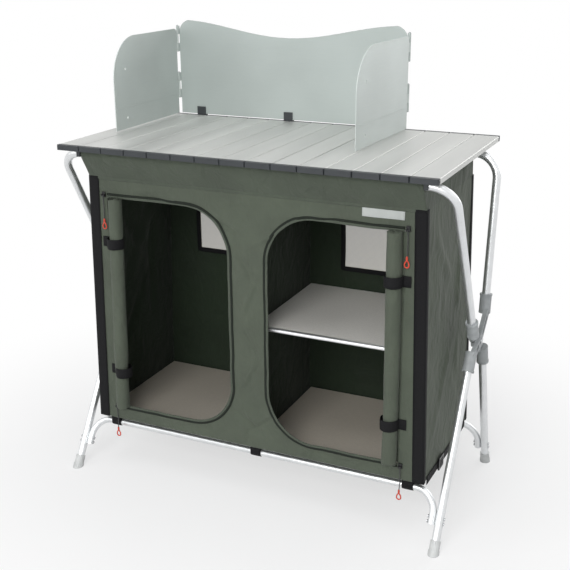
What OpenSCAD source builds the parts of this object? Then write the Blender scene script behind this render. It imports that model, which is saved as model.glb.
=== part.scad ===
// Folding camp kitchen cabinet: scissor tube frame, slatted top, windscreen and a hung fabric box.
// Front is -Y, the floor is z = 0, all sizes in millimetres.

/* [Table top] */
// Width of the slatted top
table_w = 900; // [780:10:960]
// Depth of the top, front to back
table_d = 500; // [470:5:540]
// Height of the top face above the floor
table_h = 837; // [810:1:870]
// Number of slats
slat_count = 15; // [10:1:18]
// Thickness of a slat
slat_t = 12; // [10:0.5:13]
// Gap between two slats
slat_gap = 1.4; // [0.8:0.1:3]
// Wall of the slat extrusion
slat_wall = 1.1; // [0.8:0.1:2]
// Length of the moulded slat end caps
cap_len = 12; // [9:0.5:16]
// Diameter of the elastic cord that strings the end caps
cord_d = 3.6; // [2:0.2:5]

/* [Frame] */
// Diameter of the leg and top tubes
tube_d = 19; // [16:0.5:22]
// Wall of the leg tubes
tube_wall = 1.2; // [0.8:0.1:2]
// Diameter of the lower rails
rail_d = 16; // [12:0.5:18]
// Wall of the lower rails
rail_wall = 1.1; // [0.8:0.1:2]
// Centre line radius of the top frame bends
top_bend = 55; // [40:1:70]
// Centre line radius of the lower rail bends
rail_bend = 50; // [35:1:52]
// Distance from the top's side edge out to the leg centre line
leg_out = 22; // [18:1:30]
// Height of the lower rails above the floor
rail_h = 114; // [108:1:118]
// Height of the scissor pivot
pivot_h = 400; // [380:1:420]
// Diameter of the pivot pin
pin_d = 8; // [6:0.5:10]
// Radial clearance of the pivot pin
pin_clear = 0.05; // [0.02:0.01:0.1]
// Thickness of the moulded hub plates
hub_t = 9.6; // [8:0.1:10]
// Wall of the hub collars round the tubes
collar_wall = 4; // [3:0.5:5]
// Length of tube held by a collar
collar_len = 38; // [30:1:50]
// Wall of the foot caps
foot_wall = 2; // [1.5:0.5:4]

/* [Fabric box] */
// Distance of the box's top seam in from the top's side edge
box_top_in = 39; // [38:1:80]
// Distance of the box's bottom in from the top's side edge
box_bot_in = 23; // [22:1:75]
// Distance of the box's front behind the top's front edge
box_front_in = 64; // [62:1:70]
// Distance of the box's rear in from the top's rear edge
box_rear_in = 80; // [79:1:88]
// Distance of the top seam below the worktop
seam_drop = 80; // [67:1:97]
// Height of the bottom edge
bottom_h = 133; // [130:1:140]
// Thickness of the fabric
cloth_t = 1.6; // [1.2:0.1:2]
// Width of cloth between a door opening and the side at the seam
door_side = 45; // [43:1:70]
// Inner edge of the door openings from the centre
door_in = 47; // [35:1:70]
// Distance of the door openings below the top seam
door_drop = 47; // [37:1:67]
// Bottom of the door openings
door_low = 171; // [160:1:190]
// Radius of the inner door corners
door_r = 112; // [80:1:130]
// Diameter of a rolled door
roll_d = 38; // [30:1:39]
// Turns in a rolled door
roll_turns = 3; // [2:1:4]
// Width of the zip tape
zip_w = 7; // [5:0.5:10]
// Height of the roll straps
strap_h = 25; // [18:1:32]
// Width of the black corner webbing
edge_w = 27; // [20:1:30]
// Lower edge of the rear windows
window_low = 487; // [470:1:520]
// Distance of the rear windows below the top seam
window_drop = 65; // [50:1:120]
// Width of a rear window
window_w = 236; // [180:2:260]

/* [Boards] */
// Thickness of the floor boards and the shelf
board_t = 9; // [6:0.5:12]
// Height of the shelf's upper face
shelf_h = 437; // [400:1:470]
// Gap from a board to the fabric beside it
board_gap = 5; // [3:0.5:8]
// Setback of the boards behind the front panel
board_back = 15; // [14:0.5:25]
// Depth of the bright edge profile on a board
edge_d = 10; // [8:1:14]

/* [Windscreen] */
// Distance of the back panel in from the top's left edge
screen_left_in = 36; // [34:1:70]
// Distance of the back panel in from the top's right edge
screen_right_in = 226; // [150:1:250]
// Height of the back panel at its ends above the top
screen_h = 241; // [200:1:260]
// Dip of the back panel's upper edge in the middle
screen_dip = 38; // [20:1:50]
// Height of a wing above the top
wing_h = 219; // [180:1:230]
// Length of a wing, hinge to front edge
wing_len = 312; // [280:1:318]
// Radius of the wing's front upper corner
wing_r = 100; // [60:1:110]
// Thickness of the windscreen sheet
sheet_t = 2; // [1.2:0.1:2]
// Diameter of the wing hinge pins
hinge_d = 3; // [2.5:0.1:4]
// Length of one hinge knuckle
knuckle = 22; // [16:1:26]

/* [Hidden] */
$fn = 48;

e = 0.01;
seat = 0.3;
tube_r = tube_d / 2;
rail_r = rail_d / 2;
leg_x = table_w / 2 + leg_out;
bar_z = table_h - slat_t - 3.5 - tube_r;
slat_z = table_h - slat_t;
pitch = table_w / slat_count;

// Frame points as [y, z]: a carries the front bar and the rear feet, b the rear bar and the front feet.
pivot = [45, pivot_h];
bar_a = [45 - table_d / 2, bar_z];
bar_b = [table_d / 2 - 100, bar_z];
up_a = pivot + [-40, 30];
lo_a = pivot + [60, -45];
up_b = pivot + [60, 55];
lo_b = pivot + [-50, -20];
foot_a = [table_d / 2 - 35, 0];
foot_b = [10 - table_d / 2, 0];
arm_w = 24;
plate_gap = 0.4;
a_x0 = leg_x - plate_gap / 2 - hub_t;
b_x0 = leg_x + plate_gap / 2;
rail_x = leg_x - tube_r - rail_r - 0.2;
rail_drop = rail_bend + 22;
loop_in = 39;
box_front = table_d / 2 - box_front_in;
box_rear = table_d / 2 - box_rear_in;
box_top_hw = table_w / 2 - box_top_in;
box_bot_hw = table_w / 2 - box_bot_in;
seam_h = table_h - seam_drop;
door_out = box_top_hw - door_side;
door_top = seam_h - door_drop;
window_h = seam_h - window_drop - window_low;
screen_left = table_w / 2 - screen_left_in;
screen_right = table_w / 2 - screen_right_in;
loop_x = box_bot_hw - loop_in;
label_w = 93;
label_h = 22;
label_in = 140;

function at_z(p, q, z) = p + (q - p) * (z - p[1]) / (q[1] - p[1]);
function unit(v) = v / norm(v);
// Tilt about X that turns straight down into the direction from p to q.
function tilt(p, q) = asin((q[0] - p[0]) / norm(q - p));
function hw_at(z) = box_top_hw + (box_bot_hw - box_top_hw) * (seam_h - z) / (seam_h - bottom_h);
rail_a = at_z(lo_a, foot_a, rail_h);
rail_b = at_z(lo_b, foot_b, rail_h);

module ring(r, t, h) {
    difference() {
        cylinder(h = h, r = r);
        translate([0, 0, -1])
            cylinder(h = h + 2, r = r - t);
    }
}

// Hollow tube bent to a bridge: a bar on the X axis and two legs down to z = -drop.
module bridge_tube(hw, bend, drop, r, t) {
    translate([-(hw - bend), 0, 0])
        rotate([0, 90, 0])
            ring(r, t, 2 * (hw - bend));
    for (s = [0, 1])
        mirror([s, 0, 0]) {
            translate([hw, 0, -drop])
                ring(r, t, drop - bend);
            translate([hw - bend, 0, -bend])
                rotate([90, 0, 0])
                    rotate_extrude(angle = 90)
                        translate([bend, 0])
                            difference() {
                                circle(r = r);
                                circle(r = r - t);
                            }
        }
}

// Place children along the line from p to q in the plane of a leg, z pointing from p to q.
module along(p, q, x) {
    translate([x, p[0], p[1]])
        rotate([-atan2(q[0] - p[0], q[1] - p[1]), 0, 0])
            children();
}

module front_top_frame() {
    color("silver")
        translate([0, bar_a[0], bar_a[1]])
            rotate([tilt(bar_a, up_a), 0, 0])
                bridge_tube(leg_x, top_bend, norm(up_a - bar_a), tube_r, tube_wall);
}

module rear_top_frame() {
    color("silver")
        translate([0, bar_b[0], bar_b[1]])
            rotate([tilt(bar_b, up_b), 0, 0])
                bridge_tube(leg_x, top_bend, norm(up_b - bar_b), tube_r, tube_wall);
}

// Two rivets through a rail end and its leg, measured down from the rail line.
module rivet_shafts(p, q, r) {
    for (d = [rail_bend + 6, rail_bend + 17])
        along(p, q, rail_x)
            translate([0, 0, d])
                rotate([0, 90, 0])
                    translate([0, 0, -rail_r - 4])
                        cylinder(h = rail_d + tube_d + 8.2, r = r, $fn = 24);
}

module lower_leg(lo, foot, rail) {
    len = norm(foot - lo);
    difference() {
        along(lo, foot, leg_x)
            ring(tube_r, tube_wall, len - 10);
        rivet_shafts(rail, foot, 2.05);
    }
}

module lower_rail(rail, foot) {
    difference() {
        translate([0, rail[0], rail[1]])
            rotate([tilt(rail, foot), 0, 0])
                bridge_tube(rail_x, rail_bend, rail_drop, rail_r, rail_wall);
        for (s = [0, 1])
            mirror([s, 0, 0])
                rivet_shafts(rail, foot, 2.05);
    }
}

module rail_rivets(rail, foot) {
    for (s = [0, 1])
        mirror([s, 0, 0])
            for (d = [rail_bend + 6, rail_bend + 17])
                along(rail, foot, rail_x)
                    translate([0, 0, d])
                        rotate([0, 90, 0]) {
                            translate([0, 0, -rail_r - 1.4])
                                cylinder(h = rail_d + tube_d + 2.8, r = 2, $fn = 24);
                            translate([0, 0, -rail_r - 2])
                                cylinder(h = 1.8, r = 3.6, $fn = 24);
                            translate([0, 0, rail_r + tube_d + 0.3])
                                cylinder(h = 1.8, r = 3.6, $fn = 24);
                        }
}

module foot_cap(lo, foot) {
    r = tube_r + foot_wall;
    difference() {
        along(foot, lo, leg_x)
            translate([0, 0, -15])
                union() {
                    cylinder(h = 45, r = r);
                    cylinder(h = 24, r = r + 1.2);
                }
        along(foot, lo, leg_x)
            translate([0, 0, 10])
                cylinder(h = 21, r = tube_r + 0.05);
        translate([leg_x - 40, foot[0] - 60, -60])
            cube([80, 120, 60]);
    }
}

// Flat bar between two points with round ends, drawn as [y, z].
module bar2d(p, q, w) {
    translate(p)
        rotate(atan2(q[1] - p[1], q[0] - p[0]))
            translate([0, -0.49 * w])
                square([norm(q - p), 0.98 * w]);
    translate(p)
        circle(d = w);
    translate(q)
        circle(d = w);
}

// Moulded hub half: two collars on the tubes joined by arms that cross at the pivot.
module hub_half(up, bar, lo, foot, x0) {
    cr = tube_r + collar_wall;
    difference() {
        union() {
            translate([x0, 0, 0])
                rotate([90, 0, 90])
                    linear_extrude(hub_t) {
                        bar2d(pivot, up, arm_w);
                        bar2d(pivot, lo, arm_w);
                        translate(pivot)
                            circle(r = 17);
                    }
            hub_collar(up, bar, cr);
            hub_collar(lo, foot, cr);
        }
        along(up, bar, leg_x)
            cylinder(h = collar_len + 10, r = tube_r + 0.05);
        along(lo, foot, leg_x)
            cylinder(h = collar_len + 10, r = tube_r + 0.05);
        translate([x0 - 1, pivot[0], pivot[1]])
            rotate([0, 90, 0])
                cylinder(h = hub_t + 2, r = pin_d / 2 + pin_clear);
        for (q = [up, lo])
            hub_pocket(q, x0);
    }
}

module hub_collar(p, q, cr) {
    along(p, q, leg_x) {
        translate([0, 0, -8])
            cylinder(h = collar_len + 8, r = cr);
        translate([0, 0, collar_len - 4])
            cylinder(h = 4, r = cr + 1);
    }
}

// Lightening pocket in the outer face of an arm.
module hub_pocket(q, x0) {
    dir = unit(q - pivot);
    far = norm(q - pivot) - tube_r - collar_wall - 8;
    face = x0 > leg_x ? x0 + hub_t - 3 : x0 - 1;
    if (far > 24)
        translate([face, 0, 0])
            rotate([90, 0, 90])
                linear_extrude(4)
                    bar2d(pivot + dir * 22, pivot + dir * far, arm_w - 12);
}

module hub_a_right() {
    color("dimgray")
        hub_half(up_a, bar_a, lo_a, foot_a, a_x0);
}

module hub_a_left() {
    mirror([1, 0, 0])
        hub_a_right();
}

module hub_b_right() {
    color("dimgray")
        hub_half(up_b, bar_b, lo_b, foot_b, b_x0);
}

module hub_b_left() {
    mirror([1, 0, 0])
        hub_b_right();
}

module rear_leg_right() {
    color("silver")
        lower_leg(lo_a, foot_a, rail_a);
}

module rear_leg_left() {
    mirror([1, 0, 0])
        rear_leg_right();
}

module front_leg_right() {
    color("silver")
        lower_leg(lo_b, foot_b, rail_b);
}

module front_leg_left() {
    mirror([1, 0, 0])
        front_leg_right();
}

module rear_lower_rail() {
    color("silver")
        lower_rail(rail_a, foot_a);
}

module front_lower_rail() {
    color("silver")
        lower_rail(rail_b, foot_b);
}

module rear_rail_rivets() {
    color("gray")
        rail_rivets(rail_a, foot_a);
}

module front_rail_rivets() {
    color("gray")
        rail_rivets(rail_b, foot_b);
}

module rear_foot_caps() {
    color("lightgray")
        for (s = [0, 1])
            mirror([s, 0, 0])
                foot_cap(lo_a, foot_a);
}

module front_foot_caps() {
    color("lightgray")
        for (s = [0, 1])
            mirror([s, 0, 0])
                foot_cap(lo_b, foot_b);
}

module pivot_pins() {
    color("gray")
        for (s = [0, 1])
            mirror([s, 0, 0])
                translate([0, pivot[0], pivot[1]])
                    rotate([0, 90, 0]) {
                        translate([0, 0, a_x0 - 1])
                            cylinder(h = 2 * hub_t + plate_gap + 2, r = pin_d / 2);
                        translate([0, 0, a_x0 - seat - 2.4])
                            cylinder(h = 2.4, r = pin_d / 2 + 3);
                        translate([0, 0, b_x0 + hub_t + seat])
                            cylinder(h = 2.6, r = pin_d / 2 + 4);
                    }
}

// Webbing loop round a rail with its tail up to the box.
module rail_loop(rail, x, y_tail, top) {
    translate([x - 13, rail[0], rail[1]])
        rotate([0, 90, 0])
            ring(rail_r + seat + cloth_t, cloth_t, 26);
    translate([x - 13, y_tail, rail[1] + rail_r - 3])
        cube([26, cloth_t, top - rail[1] - rail_r + 3]);
}

module front_rail_loops() {
    color("black")
        for (x = [-loop_x, 8, loop_x])
            rail_loop(rail_b, x, rail_b[0] - rail_r - seat - cloth_t, bottom_h - seat);
}

module rear_rail_loops() {
    color("black")
        for (x = [-loop_x, 8, loop_x])
            rail_loop(rail_a, x, rail_a[0] - rail_r - seat - cloth_t, bottom_h - seat);
}

// Slat extrusion: two hollow cells under a flat crown with eased edges.
module slat_section() {
    w = pitch - slat_gap;
    cell = (w - 3 * slat_wall) / 2;
    difference() {
        union() {
            translate([-w / 2, 0])
                square([w, slat_t - 2]);
            translate([-w / 2 + 2, slat_t - 2 - e])
                square([w - 4, 2 + e]);
            for (s = [-1, 1])
                translate([s * (w / 2 - 2), slat_t - 2])
                    circle(r = 2, $fn = 24);
        }
        for (s = [-1, 1])
            translate([s * (cell + slat_wall) / 2 - cell / 2, slat_wall])
                square([cell, slat_t - 2 * slat_wall - 0.6]);
    }
}

module tabletop_slats() {
    color("gainsboro")
        for (i = [0:slat_count - 1])
            translate([(i - (slat_count - 1) / 2) * pitch, table_d / 2 - cap_len, slat_z])
                rotate([90, 0, 0])
                    linear_extrude(table_d - 2 * cap_len)
                        slat_section();
}

// Moulded end cap: body with a rounded nose, a plug lip above the slat and a cord hole.
module end_cap() {
    w = pitch - 0.7;
    difference() {
        union() {
            translate([-w / 2 + 3, -cap_len, 0])
                cube([w - 6, cap_len - 0.05, slat_t]);
            translate([-w / 2, -cap_len + 3, 0])
                cube([w, cap_len - 3.05, slat_t]);
            for (s = [-1, 1])
                translate([s * (w / 2 - 3), -cap_len + 3, 0])
                    cylinder(h = slat_t, r = 3, $fn = 24);
        }
        translate([-w, -cap_len / 2, slat_t / 2])
            rotate([0, 90, 0])
                cylinder(h = 2 * w, r = cord_d / 2 + 0.2, $fn = 24);
        for (s = [-1, 1])
            translate([s * w / 2, -cap_len, slat_t - 4])
                rotate([0, 0, 45])
                    translate([-1.6, -1.6, 0])
                        cube([3.2, 3.2, 5]);
    }
}

module cap_row() {
    for (i = [0:slat_count - 1])
        translate([(i - (slat_count - 1) / 2) * pitch, -table_d / 2 + cap_len, slat_z])
            end_cap();
}

module front_end_caps() {
    color("darkslategray")
        cap_row();
}

module rear_end_caps() {
    color("darkslategray")
        mirror([0, 1, 0])
            cap_row();
}

module slat_cords() {
    color("black")
        for (s = [-1, 1])
            translate([-table_w / 2 + 4, s * (table_d / 2 - cap_len / 2), slat_z + slat_t / 2])
                rotate([0, 90, 0])
                    cylinder(h = table_w - 8, r = cord_d / 2, $fn = 24);
}

// Saddle under an end slat that drops over the front bar.
module saddle(w) {
    top = slat_z - seat;
    difference() {
        translate([-w / 2, bar_a[0] - tube_r - 4, bar_z - 6])
            cube([w, tube_d + 8, top - bar_z + 6]);
        translate([-w, bar_a[0], bar_z])
            rotate([0, 90, 0])
                cylinder(h = 2 * w, r = tube_r + seat);
        translate([-w, bar_a[0] - tube_r - seat, bar_z - 20])
            cube([2 * w, tube_d + 2 * seat, 20]);
    }
}

module tabletop_clips() {
    color("darkslategray")
        for (s = [-1, 1])
            translate([s * (leg_x - top_bend - 2), 0, 0])
                saddle(9);
}

module rear_rest_pads() {
    color("darkslategray")
        for (s = [-1, 1])
            translate([s * (leg_x - top_bend - 2) - 4.5, bar_b[0] - 9, bar_z + tube_r + seat])
                cube([9, 18, slat_z - bar_z - tube_r - 2 * seat]);
}

screen_y = table_d / 2 - 5;
screen_z = table_h + 3;
hinge_y = screen_y - 3.2;
hinge_xl = -(screen_left - 1);
hinge_xr = screen_right - 1;
kn_r = hinge_d / 2 + 1.5;
wing_gap = kn_r + 3.4;
panel_x0 = -screen_left + 2 * kn_r;
panel_x1 = screen_right - 2 * kn_r;
kn_low = 40;
kn_high = 160;
mid_x = (panel_x0 + panel_x1) / 2;
half_s = (panel_x1 - panel_x0) / 2;

// Upper edge of the back panel: high at both ends with a shallow dip.
function crest(u) = screen_h - screen_dip * pow(cos(90 * u), 2);

module windscreen_back() {
    r = 34;
    top = [for (i = [0:24]) let (u = -1 + i / 12) [mid_x + u * half_s, crest(u)]];
    color("lightgray")
        difference() {
            union() {
                translate([0, screen_y + sheet_t / 2, screen_z])
                    rotate([90, 0, 0])
                        linear_extrude(sheet_t)
                            intersection() {
                                polygon(concat([[panel_x1, 0], [panel_x0, 0]], [for (p = top) p]));
                                union() {
                                    translate([panel_x0, 0])
                                        square([2 * half_s, screen_h - r]);
                                    translate([panel_x0 + r, 0])
                                        square([2 * half_s - 2 * r, screen_h]);
                                    translate([panel_x0 + r, screen_h - r])
                                        circle(r = r);
                                    translate([panel_x1 - r, screen_h - r])
                                        circle(r = r);
                                }
                            }
                for (k = [0, 1])
                    for (z = [kn_low, kn_low + 2 * knuckle, kn_high, kn_high + 2 * knuckle]) {
                        hx = k == 0 ? hinge_xl : hinge_xr;
                        px = k == 0 ? panel_x0 : panel_x1;
                        translate([hx, hinge_y, screen_z + z])
                            cylinder(h = knuckle - 0.6, r = kn_r, $fn = 24);
                        translate([min(hx, px) - e, hinge_y - sheet_t / 2, screen_z + z])
                            cube([abs(px - hx) + 2 * e, screen_y - hinge_y + sheet_t, knuckle - 0.6]);
                    }
            }
            for (x = [hinge_xl, hinge_xr])
                translate([x, hinge_y, screen_z])
                    cylinder(h = screen_h + 10, r = hinge_d / 2 + 0.05, $fn = 24);
            translate([mid_x - 123, screen_y - sheet_t, screen_z + 176])
                cube([246, sheet_t - 0.5, 4]);
        }
}

module hinge_pins() {
    color("silver")
        for (x = [hinge_xl, hinge_xr])
            for (z = [kn_low, kn_high])
                translate([x, hinge_y, screen_z + z - 1]) {
                    cylinder(h = 3 * knuckle + 2, r = hinge_d / 2, $fn = 24);
                    translate([0, 0, 3 * knuckle + 1])
                        cylinder(h = 1.5, r = hinge_d / 2 + 0.8, $fn = 24);
                }
}

// Wing plate in its own axes: hinge line at the origin, sheet running along -Y.
module wing() {
    top = wing_h;
    difference() {
        union() {
            translate([-sheet_t / 2, 0, screen_z])
                rotate([90, 0, 90])
                    linear_extrude(sheet_t) {
                        translate([-wing_len, 0])
                            square([wing_len - wing_gap, top - wing_r]);
                        translate([-wing_len + wing_r, 0])
                            square([wing_len - wing_r - wing_gap - 12, top]);
                        translate([-wing_len + wing_r, top - wing_r])
                            circle(r = wing_r, $fn = 96);
                        translate([-wing_gap - 12, top - 12])
                            circle(r = 12);
                        translate([-wing_gap - 12.1, 0])
                            square([12.1, top - 12]);
                    }
            for (z = [kn_low, kn_high]) {
                translate([0, 0, screen_z + z + knuckle])
                    cylinder(h = knuckle - 0.6, r = kn_r, $fn = 24);
                translate([-sheet_t / 2, -wing_gap - 1, screen_z + z + knuckle])
                    cube([sheet_t, wing_gap + 1, knuckle - 0.6]);
            }
            translate([-sheet_t / 2 - 0.8, -wing_len + 6, screen_z + 50])
                cube([sheet_t + 1.6, wing_len - 24, 2.4]);
        }
        translate([0, 0, screen_z])
            cylinder(h = screen_h, r = hinge_d / 2 + 0.05, $fn = 24);
        for (z = [26, 143])
            translate([-sheet_t, -wing_len + 52, screen_z + z])
                rotate([0, 90, 0])
                    cylinder(h = 2 * sheet_t, r = 3, $fn = 24);
    }
}

module wing_left() {
    color("silver")
        translate([hinge_xl, hinge_y, 0])
            rotate([0, 0, 1.2])
                wing();
}

module wing_right() {
    color("silver")
        translate([hinge_xr, hinge_y, 0])
            rotate([0, 0, -2.6])
                wing();
}

// Clips that hold the back panel on the rear end caps.
module windscreen_brackets() {
    color("darkslategray")
        for (x = [panel_x0 + 60, mid_x, panel_x1 - 60])
            translate([x - 12, 0, 0])
                difference() {
                    translate([0, screen_y - 4, slat_z - 4])
                        cube([24, table_d / 2 + 3 - screen_y + 4, slat_t + 26]);
                    translate([-1, screen_y - 60, slat_z - seat])
                        cube([26, table_d / 2 + seat - screen_y + 60, slat_t + 2 * seat]);
                    translate([-1, screen_y - sheet_t / 2 - seat, screen_z - seat])
                        cube([26, sheet_t + 2 * seat, 40]);
                }
}

// Door opening outline as [x, z], straight outside edge and round inner corners.
module opening2d(grow) {
    x0 = door_in - grow;
    x1 = door_out;
    z0 = door_low - grow;
    z1 = door_top + grow;
    r = door_r + grow;
    translate([x0 + r, z0])
        square([x1 - x0 - r, z1 - z0]);
    translate([x0, z0 + r])
        square([r + e, z1 - z0 - 2 * r]);
    for (z = [z0 + r, z1 - r])
        translate([x0 + r, z])
            circle(r = r, $fn = 96);
}

module front_panel() {
    color("darkolivegreen")
        translate([0, -box_front + cloth_t, 0])
            rotate([90, 0, 0])
                linear_extrude(cloth_t)
                    difference() {
                        polygon([[-box_bot_hw, bottom_h], [box_bot_hw, bottom_h],
                            [box_top_hw, seam_h], [-box_top_hw, seam_h]]);
                        opening2d(0);
                        mirror([1, 0])
                            opening2d(0);
                    }
}

win_x = 90;

module window2d(grow) {
    for (s = [0, 1])
        mirror([s, 0])
            translate([win_x - grow, window_low - grow])
                square([window_w + 2 * grow, window_h + 2 * grow]);
}

module rear_panel() {
    color("darkolivegreen")
        translate([0, box_rear, 0])
            rotate([90, 0, 0])
                linear_extrude(cloth_t)
                    difference() {
                        polygon([[-box_bot_hw, bottom_h], [box_bot_hw, bottom_h],
                            [box_top_hw, seam_h], [-box_top_hw, seam_h]]);
                        window2d(0);
                    }
}

module window_edging() {
    color("black")
        translate([0, box_rear - cloth_t - 0.05, 0])
            rotate([90, 0, 0])
                linear_extrude(1)
                    difference() {
                        window2d(9);
                        window2d(-3);
                    }
}

module window_mesh() {
    color("dimgray")
        translate([0, box_rear - 0.5, 0])
            rotate([90, 0, 0])
                linear_extrude(0.6)
                    window2d(-0.2);
}

module side_panel_right() {
    color("darkolivegreen")
        translate([0, box_rear - cloth_t - 0.1, 0])
            rotate([90, 0, 0])
                linear_extrude(box_front + box_rear - 2 * cloth_t - 0.2)
                    polygon([[box_bot_hw - cloth_t, bottom_h], [box_bot_hw, bottom_h],
                        [box_top_hw, seam_h], [box_top_hw - cloth_t, seam_h]]);
}

module side_panel_left() {
    mirror([1, 0, 0])
        side_panel_right();
}

// Point where a line from q touches a circle of radius r round c; side picks which.
function touch(c, q, r, side) =
    let (d = q - c, a = atan2(d[1], d[0]) + side * acos(r / norm(d)))
    c + r * [cos(a), sin(a)];

module yoke_band(c, q, side) {
    r = tube_r + seat + cloth_t / 2;
    t = touch(c, q, r, side);
    n = unit(t - c) * cloth_t / 2;
    t0 = t + unit(t - q);
    translate([-box_top_hw + 3, 0, 0])
        rotate([90, 0, 90])
            linear_extrude(2 * box_top_hw - 6) {
                translate(c)
                    difference() {
                        circle(r = tube_r + seat + cloth_t);
                        circle(r = tube_r + seat);
                    }
                polygon([t0 - n * 0.9, t0 + n * 0.9, t + n, q + n, q - n, t - n]);
            }
}

module yoke_front() {
    color("darkolivegreen")
        yoke_band(bar_a, [-box_front + cloth_t / 2, seam_h + 1], -1);
}

module yoke_rear() {
    color("darkolivegreen")
        yoke_band(bar_b, [box_rear - cloth_t / 2, seam_h + 1], 1);
}

module yoke_sides() {
    color("darkolivegreen")
        for (s = [0, 1])
            mirror([s, 0, 0])
                translate([box_top_hw - cloth_t, 0, 0])
                    rotate([90, 0, 90])
                        linear_extrude(cloth_t)
                            polygon([[-box_front + cloth_t + 1, seam_h + 0.1],
                                [box_rear - cloth_t - 1, seam_h + 0.1],
                                [bar_b[0] - tube_r - 4, bar_z + 4], [bar_a[0] + tube_r + 5, bar_z + 4]]);
}

module fabric_floor() {
    hw = box_bot_hw - cloth_t - 0.6;
    color("darkolivegreen")
        translate([-hw, -box_front + cloth_t + 0.1, bottom_h])
            cube([2 * hw, box_front + box_rear - 2 * cloth_t - 0.2, cloth_t]);
}

module divider() {
    color("darkolivegreen")
        translate([-cloth_t / 2, -box_front + cloth_t + 0.1, bottom_h + cloth_t + 0.05])
            cube([cloth_t, box_front + box_rear - 2 * cloth_t - 1.3, seam_h - bottom_h - cloth_t - 1]);
}

// Webbing down each corner: a front or rear strap and a narrow return on the side.
module corner_webbing() {
    color("black")
        for (s = [0, 1])
            mirror([s, 0, 0]) {
                for (y = [-box_front - 0.05, box_rear + cloth_t + 0.05])
                    translate([0, y, 0])
                        rotate([90, 0, 0])
                            linear_extrude(cloth_t)
                                polygon([[box_bot_hw - edge_w, bottom_h], [box_bot_hw + 0.1, bottom_h],
                                    [box_top_hw + 0.1, seam_h], [box_top_hw - edge_w, seam_h]]);
                for (y = [-box_front + 12, box_rear + cloth_t + 0.05])
                    translate([0, y, 0])
                        rotate([90, 0, 0])
                            linear_extrude(12 + cloth_t + 0.05)
                                polygon([[box_bot_hw + 0.1, bottom_h], [box_bot_hw + 0.1 + cloth_t, bottom_h],
                                    [box_top_hw + 0.1 + cloth_t, seam_h], [box_top_hw + 0.1, seam_h]]);
            }
}

board_y0 = -box_front + cloth_t + board_back;
board_y1 = box_rear - cloth_t - board_gap - 1;
floor_top = bottom_h + cloth_t + 0.2 + board_t;

module floor_board() {
    hw = hw_at(floor_top) - cloth_t - board_gap;
    translate([board_gap, board_y0 + edge_d, floor_top - board_t])
        cube([hw - board_gap, board_y1 - board_y0 - edge_d, board_t]);
}

module floor_board_right() {
    color("tan")
        floor_board();
}

module floor_board_left() {
    color("tan")
        mirror([1, 0, 0])
            floor_board();
}

// Rounded edge profile on the front of a board.
module edge_profile(x0, x1, top) {
    translate([x0, 0, 0])
        rotate([90, 0, 90])
            linear_extrude(x1 - x0) {
                translate([board_y0 + board_t / 2, top - board_t])
                    square([edge_d - board_t / 2 - 0.05, board_t]);
                translate([board_y0 + board_t / 2, top - board_t / 2])
                    circle(r = board_t / 2, $fn = 24);
            }
}

module board_edges() {
    hw = hw_at(floor_top) - cloth_t - board_gap;
    color("silver")
        for (s = [0, 1])
            mirror([s, 0, 0])
                edge_profile(board_gap, hw, floor_top);
}

shelf_hw = hw_at(shelf_h) - cloth_t - board_gap;

module mid_shelf() {
    color("whitesmoke")
        translate([board_gap, board_y0 + edge_d, shelf_h - board_t])
            cube([shelf_hw - board_gap, board_y1 - board_y0 - edge_d, board_t]);
}

module shelf_edge() {
    color("silver")
        edge_profile(board_gap, shelf_hw, shelf_h);
}

// Webbing ledges sewn to the divider and the side wall that carry the shelf.
module shelf_ledges() {
    z = shelf_h - board_t - seat;
    color("black") {
        translate([cloth_t / 2 + 0.05, board_y0, z - 30])
            cube([cloth_t, board_y1 - board_y0, 30]);
        translate([cloth_t / 2 + 0.05, board_y0, z - cloth_t])
            cube([24, board_y1 - board_y0, cloth_t]);
        translate([hw_at(z - 30) - 26, board_y0, z - cloth_t])
            cube([26 - 2 * cloth_t - 1, board_y1 - board_y0, cloth_t]);
        translate([hw_at(z) - 2 * cloth_t - 1, board_y0, z - 30])
            cube([cloth_t, board_y1 - board_y0, 30]);
    }
}

roll_x = door_out - roll_d / 2 - 2;
roll_y = -box_front - roll_d / 2 + 13;
roll_core = 3;
roll_slack = 1.2;
roll_pitch = (roll_d / 2 - roll_core + roll_slack) / (roll_turns + 1);
roll_cloth = roll_pitch - roll_slack;
function spiral(a, r0) = (r0 + roll_pitch * a / 360) * [cos(a), sin(a)];

// Door cloth wound to a roll, open spiral at both ends.
module door_roll() {
    n = roll_turns * 24;
    pts = concat([for (i = [0:n]) spiral(i * 15, roll_core)],
        [for (i = [n:-1:0]) spiral(i * 15, roll_core + roll_cloth)]);
    translate([roll_x, roll_y, door_low + 2])
        rotate([0, 0, -70])
            linear_extrude(door_top - door_low - 4)
                polygon(pts);
}

module door_roll_right() {
    color("olivedrab")
        door_roll();
}

module door_roll_left() {
    color("olivedrab")
        mirror([1, 0, 0])
            door_roll();
}

strap_zs = [door_low + 99, door_top - 110];
strap_t = 1.3;

// Webbing band round a rolled door, with the tail that is sewn to the front panel.
module roll_strap() {
    r = roll_d / 2 + seat + strap_t;
    dy = -box_front - strap_t / 2 - roll_y;
    translate([roll_x, roll_y, 0])
        ring(r, strap_t, strap_h);
    translate([roll_x + sqrt(pow(r - strap_t / 2, 2) - dy * dy), -box_front - strap_t - 0.05, 0])
        cube([20, strap_t, strap_h]);
}

module roll_straps() {
    color("black")
        for (s = [0, 1])
            mirror([s, 0, 0])
                for (z = strap_zs)
                    translate([0, 0, z - strap_h / 2])
                        roll_strap();
}

module zip_tapes() {
    color("black")
        for (s = [0, 1])
            mirror([s, 0, 0])
                translate([0, -box_front - 0.05, 0])
                    rotate([90, 0, 0])
                        linear_extrude(1)
                            intersection() {
                                difference() {
                                    opening2d(zip_w);
                                    opening2d(0.5);
                                }
                                square([door_out - 0.2, 2000]);
                            }
}

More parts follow.
